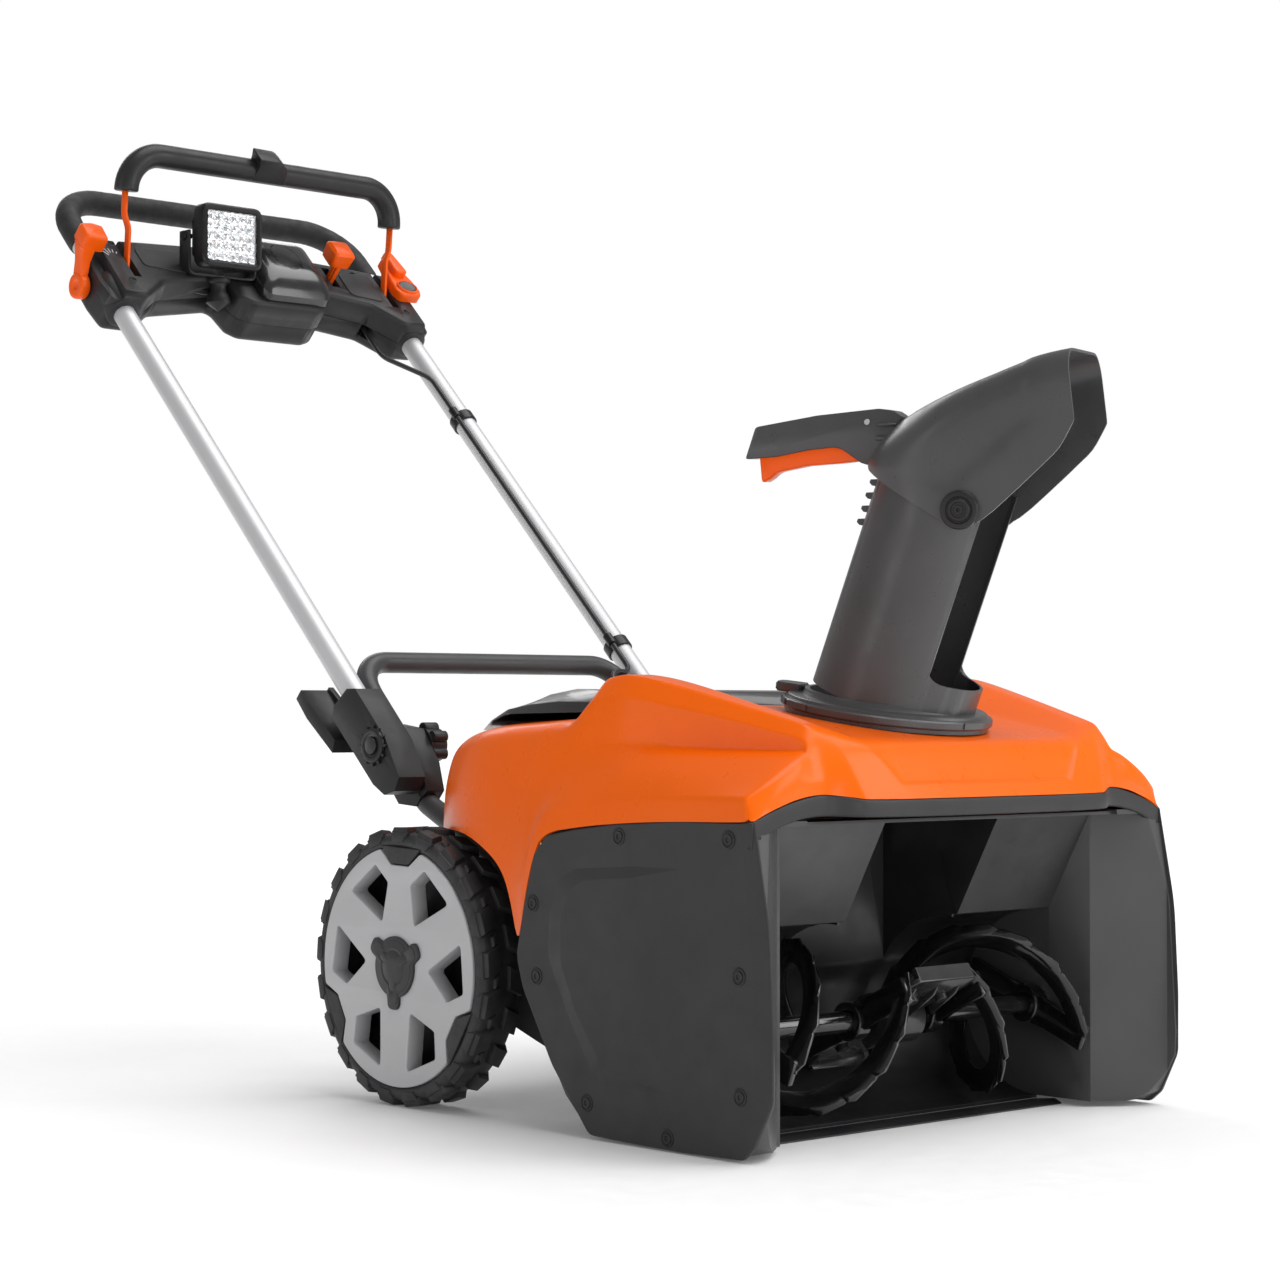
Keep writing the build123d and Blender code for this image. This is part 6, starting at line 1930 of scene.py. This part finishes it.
def folding():
    refine("fold_brackets", 3.2, BRACKET_DARK, segments=3)
    refine("fold_sockets", 4.2, CONSOLE_DARK, segments=3)
    refine("fold_bolts", 0.9, SCREW_DARK)
    for side in ("right", "left"):
        refine(side + "_fold_knob", 2.2, BRACKET_DARK, segments=3)
    # A ratchet ring with twelve teeth beside the pivot, as on a moulded clamp.
    parts = []
    for sign in (-1, 1):
        ring = bmesh.new()
        profile = [(9, 226.2), (16.5, 226.2), (17.5, 227.2), (17.5, 229.6), (16.4, 230.4), (12.6, 230.4), (12, 229.4), (9, 229.4)]
        lathe(ring, [(r, sign * x) for r, x in profile], (0, FOLD_Y, FOLD_Z), "x", 40, closed=True)
        parts.append(ring)
        for k in range(12):
            t = 2 * math.pi * k / 12
            tooth = bmesh.new()
            c, s = math.cos(t), math.sin(t)
            spots = [(FOLD_Y + r * c - d * s, FOLD_Z + r * s + d * c) for r, d in ((16.8, -1.8), (20.6, -1.1), (20.6, 1.1), (16.8, 1.8))]
            prism(tooth, [(sign * 226.1, y, z) for y, z in spots], [(sign * 229.4, y, z) for y, z in spots])
            bmesh.ops.recalc_face_normals(tooth, faces=tooth.faces)
            parts.append(tooth)
    o = add("pivot_rings", joined(*parts), "handle", "dark_plastic", BRACKET_DARK)
    bevel(o, 0.4, 2, 45)
    freeze(o, 32)


def clips():
    parts = []
    for v in (470.0, 860.0):
        bm = bmesh.new()
        for centre, r0, r1 in (((HANDLE_X, 0), HANDLE_R + 0.1, HANDLE_R + 2.4), ((186, 12), CABLE_R + 0.1, CABLE_R + 2.2)):
            rings = []
            for r, half in ((r0, 7), (r1 - 0.5, 7), (r1, 6.4), (r1, -6.4), (r1 - 0.5, -7), (r0, -7)):
                rings.append([bm.verts.new(slope(centre[0] + r * math.cos(2 * math.pi * k / 36), v + half,
                                                 centre[1] + r * math.sin(2 * math.pi * k / 36))) for k in range(36)])
            for p, q in zip(rings, rings[1:] + rings[:1]):
                for k in range(36):
                    bm.faces.new((p[k], p[(k + 1) % 36], q[(k + 1) % 36], q[k]))
        bmesh.ops.recalc_face_normals(bm, faces=bm.faces)
        parts.append(bm)
        parts.append(slope_block(189.5, 196.5, v - 5.5, v + 5.5, 4.5, 9.5))
    add("tube_clips", joined(*parts), "handle", "dark_plastic", LAMP_BLACK, "cable_clips", smooth=35)


def cables():
    """Control cable: one run held on the handle, one that crosses the fold into the hood."""
    upper = fine(bent([slope(*p) for p in CABLE_UPPER], 40, 10), 12)
    bm = bmesh.new()
    tube(bm, upper, CABLE_R, 18)
    top = add("cable_handle_run", bm, "handle", "cable_rubber", CABLE_BLACK, "cable_upper", smooth=60)
    lower = [slope(186, 455, 12), slope(186, 415, 12)] + [Vector(p) for p in CABLE_LOWER]
    lower = fine(bent(lower, 30, 10), 5)
    bm = bmesh.new()
    tube(bm, lower, CABLE_R, 18)
    for v in bm.verts:
        v.co = metres(v.co)
    mesh = bpy.data.meshes.new("cable_fold_run")
    bm.to_mesh(mesh)
    bm.free()
    low = bpy.data.objects.new("cable_fold_run", mesh)
    scene.collection.objects.link(low)
    mesh.materials.append(CABLE_BLACK)
    shade(mesh, 60)
    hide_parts("cable_lower")
    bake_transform(low)


handle()
folding()
clips()
cables()
refine("battery_lid", 2.4, LID_DARK, segments=3)


# ---------------------------------------------------------------- carried-over CAD nodes

def paint(mat, *names):
    for name in names:
        o = NODES[name]
        o.data.materials.clear()
        o.data.materials.append(mat)





paint(FRAME_COAT, "lower_frame", "chassis", "motor")
paint(STEEL, "rear_axle", "axle_hardware", "motor_pulley", "auger_bearings")




paint(CABLE_BLACK, "drive_belt")
paint(INNER_BLACK, "electronics_box", "battery_tray", "batteries", "auger_pulley")
paint(BOARD_GREEN, "control_board")


# ---------------------------------------------------------------- stage, lights, camera

def floor_sheet():
    """One large pale ground sheet with a faint grain, so that it is not perfectly flat paper."""
    bm = bmesh.new()
    bmesh.ops.create_grid(bm, x_segments=24, y_segments=24, size=30)
    mesh = bpy.data.meshes.new("floor_sheet")
    bm.to_mesh(mesh)
    bm.free()
    floor = bpy.data.objects.new("floor_sheet", mesh)
    scene.collection.objects.link(floor)
    mat = moulded("studio_floor", (0.82, 0.82, 0.82), 0.62, grain=40, grain_bump=0.01, vary=0.01)
    tree = mat.node_tree
    away = tree.nodes.new("ShaderNodeVectorMath")
    away.operation = "LENGTH"
    tree.links.new(coords(tree), away.inputs[0])
    glow = remap(tree, away.outputs["Value"], 0.07, 0.34, 0.5, 3.2)
    shader = tree.nodes["Principled BSDF"]
    shader.inputs["Emission Color"].default_value = (1, 1, 1, 1)
    tree.links.new(glow, shader.inputs["Emission Strength"])
    mesh.materials.append(mat)


def area_light(name, place, target, size, power, colour=(1, 1, 1)):
    data = bpy.data.lights.new(name, "AREA")
    data.shape = "RECTANGLE"
    data.size, data.size_y = size
    data.energy = power
    data.color = colour
    light = bpy.data.objects.new(name, data)
    scene.collection.objects.link(light)
    light.location = place
    light.rotation_euler = (Vector(target) - Vector(place)).to_track_quat("-Z", "Y").to_euler()


def studio():
    """White surroundings seen by the camera, a dimmer ambient, and soft boxes above, ahead and behind."""
    world = bpy.data.worlds.new("studio_world")
    world.use_nodes = True
    tree = world.node_tree
    back = tree.nodes["Background"]
    back.inputs["Color"].default_value = (1.0, 1.0, 1.0, 1)
    path = tree.nodes.new("ShaderNodeLightPath")
    level = tree.nodes.new("ShaderNodeMapRange")
    level.inputs["To Min"].default_value = 0.36
    level.inputs["To Max"].default_value = 1.0
    tree.links.new(path.outputs["Is Camera Ray"], level.inputs["Value"])
    tree.links.new(level.outputs["Result"], back.inputs["Strength"])
    scene.world = world
    sun = bpy.data.lights.new("overhead_soft", "SUN")
    sun.energy = 2.3
    sun.angle = math.radians(55)
    lamp = bpy.data.objects.new("overhead_soft", sun)
    scene.collection.objects.link(lamp)
    lamp.rotation_euler = Vector((-0.28, 0.30, -1)).to_track_quat("-Z", "Y").to_euler()
    area_light("front_soft", (1.8, -3.2, 1.6), (0, -0.3, 0.3), (1.8, 1.8), 40)
    area_light("intake_fill", (-0.9, -2.9, 0.5), (0.1, -0.5, 0.15), (1.0, 0.8), 9)
    area_light("left_soft", (-3.6, 0.6, 1.3), (0, 0, 0.4), (1.0, 2.0), 9)
    area_light("rear_rim", (1.2, 3.0, 2.6), (0, 0.1, 0.6), (2.2, 1.4), 26)
    scene.view_settings.view_transform = "Standard"
    scene.view_settings.look = "None"


def camera():
    data = bpy.data.cameras.new("camera")
    data.sensor_width = 36.0
    data.lens = 81.3
    data.clip_end = 60
    cam = bpy.data.objects.new("camera", data)
    scene.collection.objects.link(cam)
    cam.location = (-1.9911, -2.1984 + AXLE_SHIFT * MM, 0.3775)
    cam.rotation_euler = (math.radians(90 + 1.445), 0, math.radians(-42.77))
    scene.camera = cam


floor_sheet()
studio()
camera()
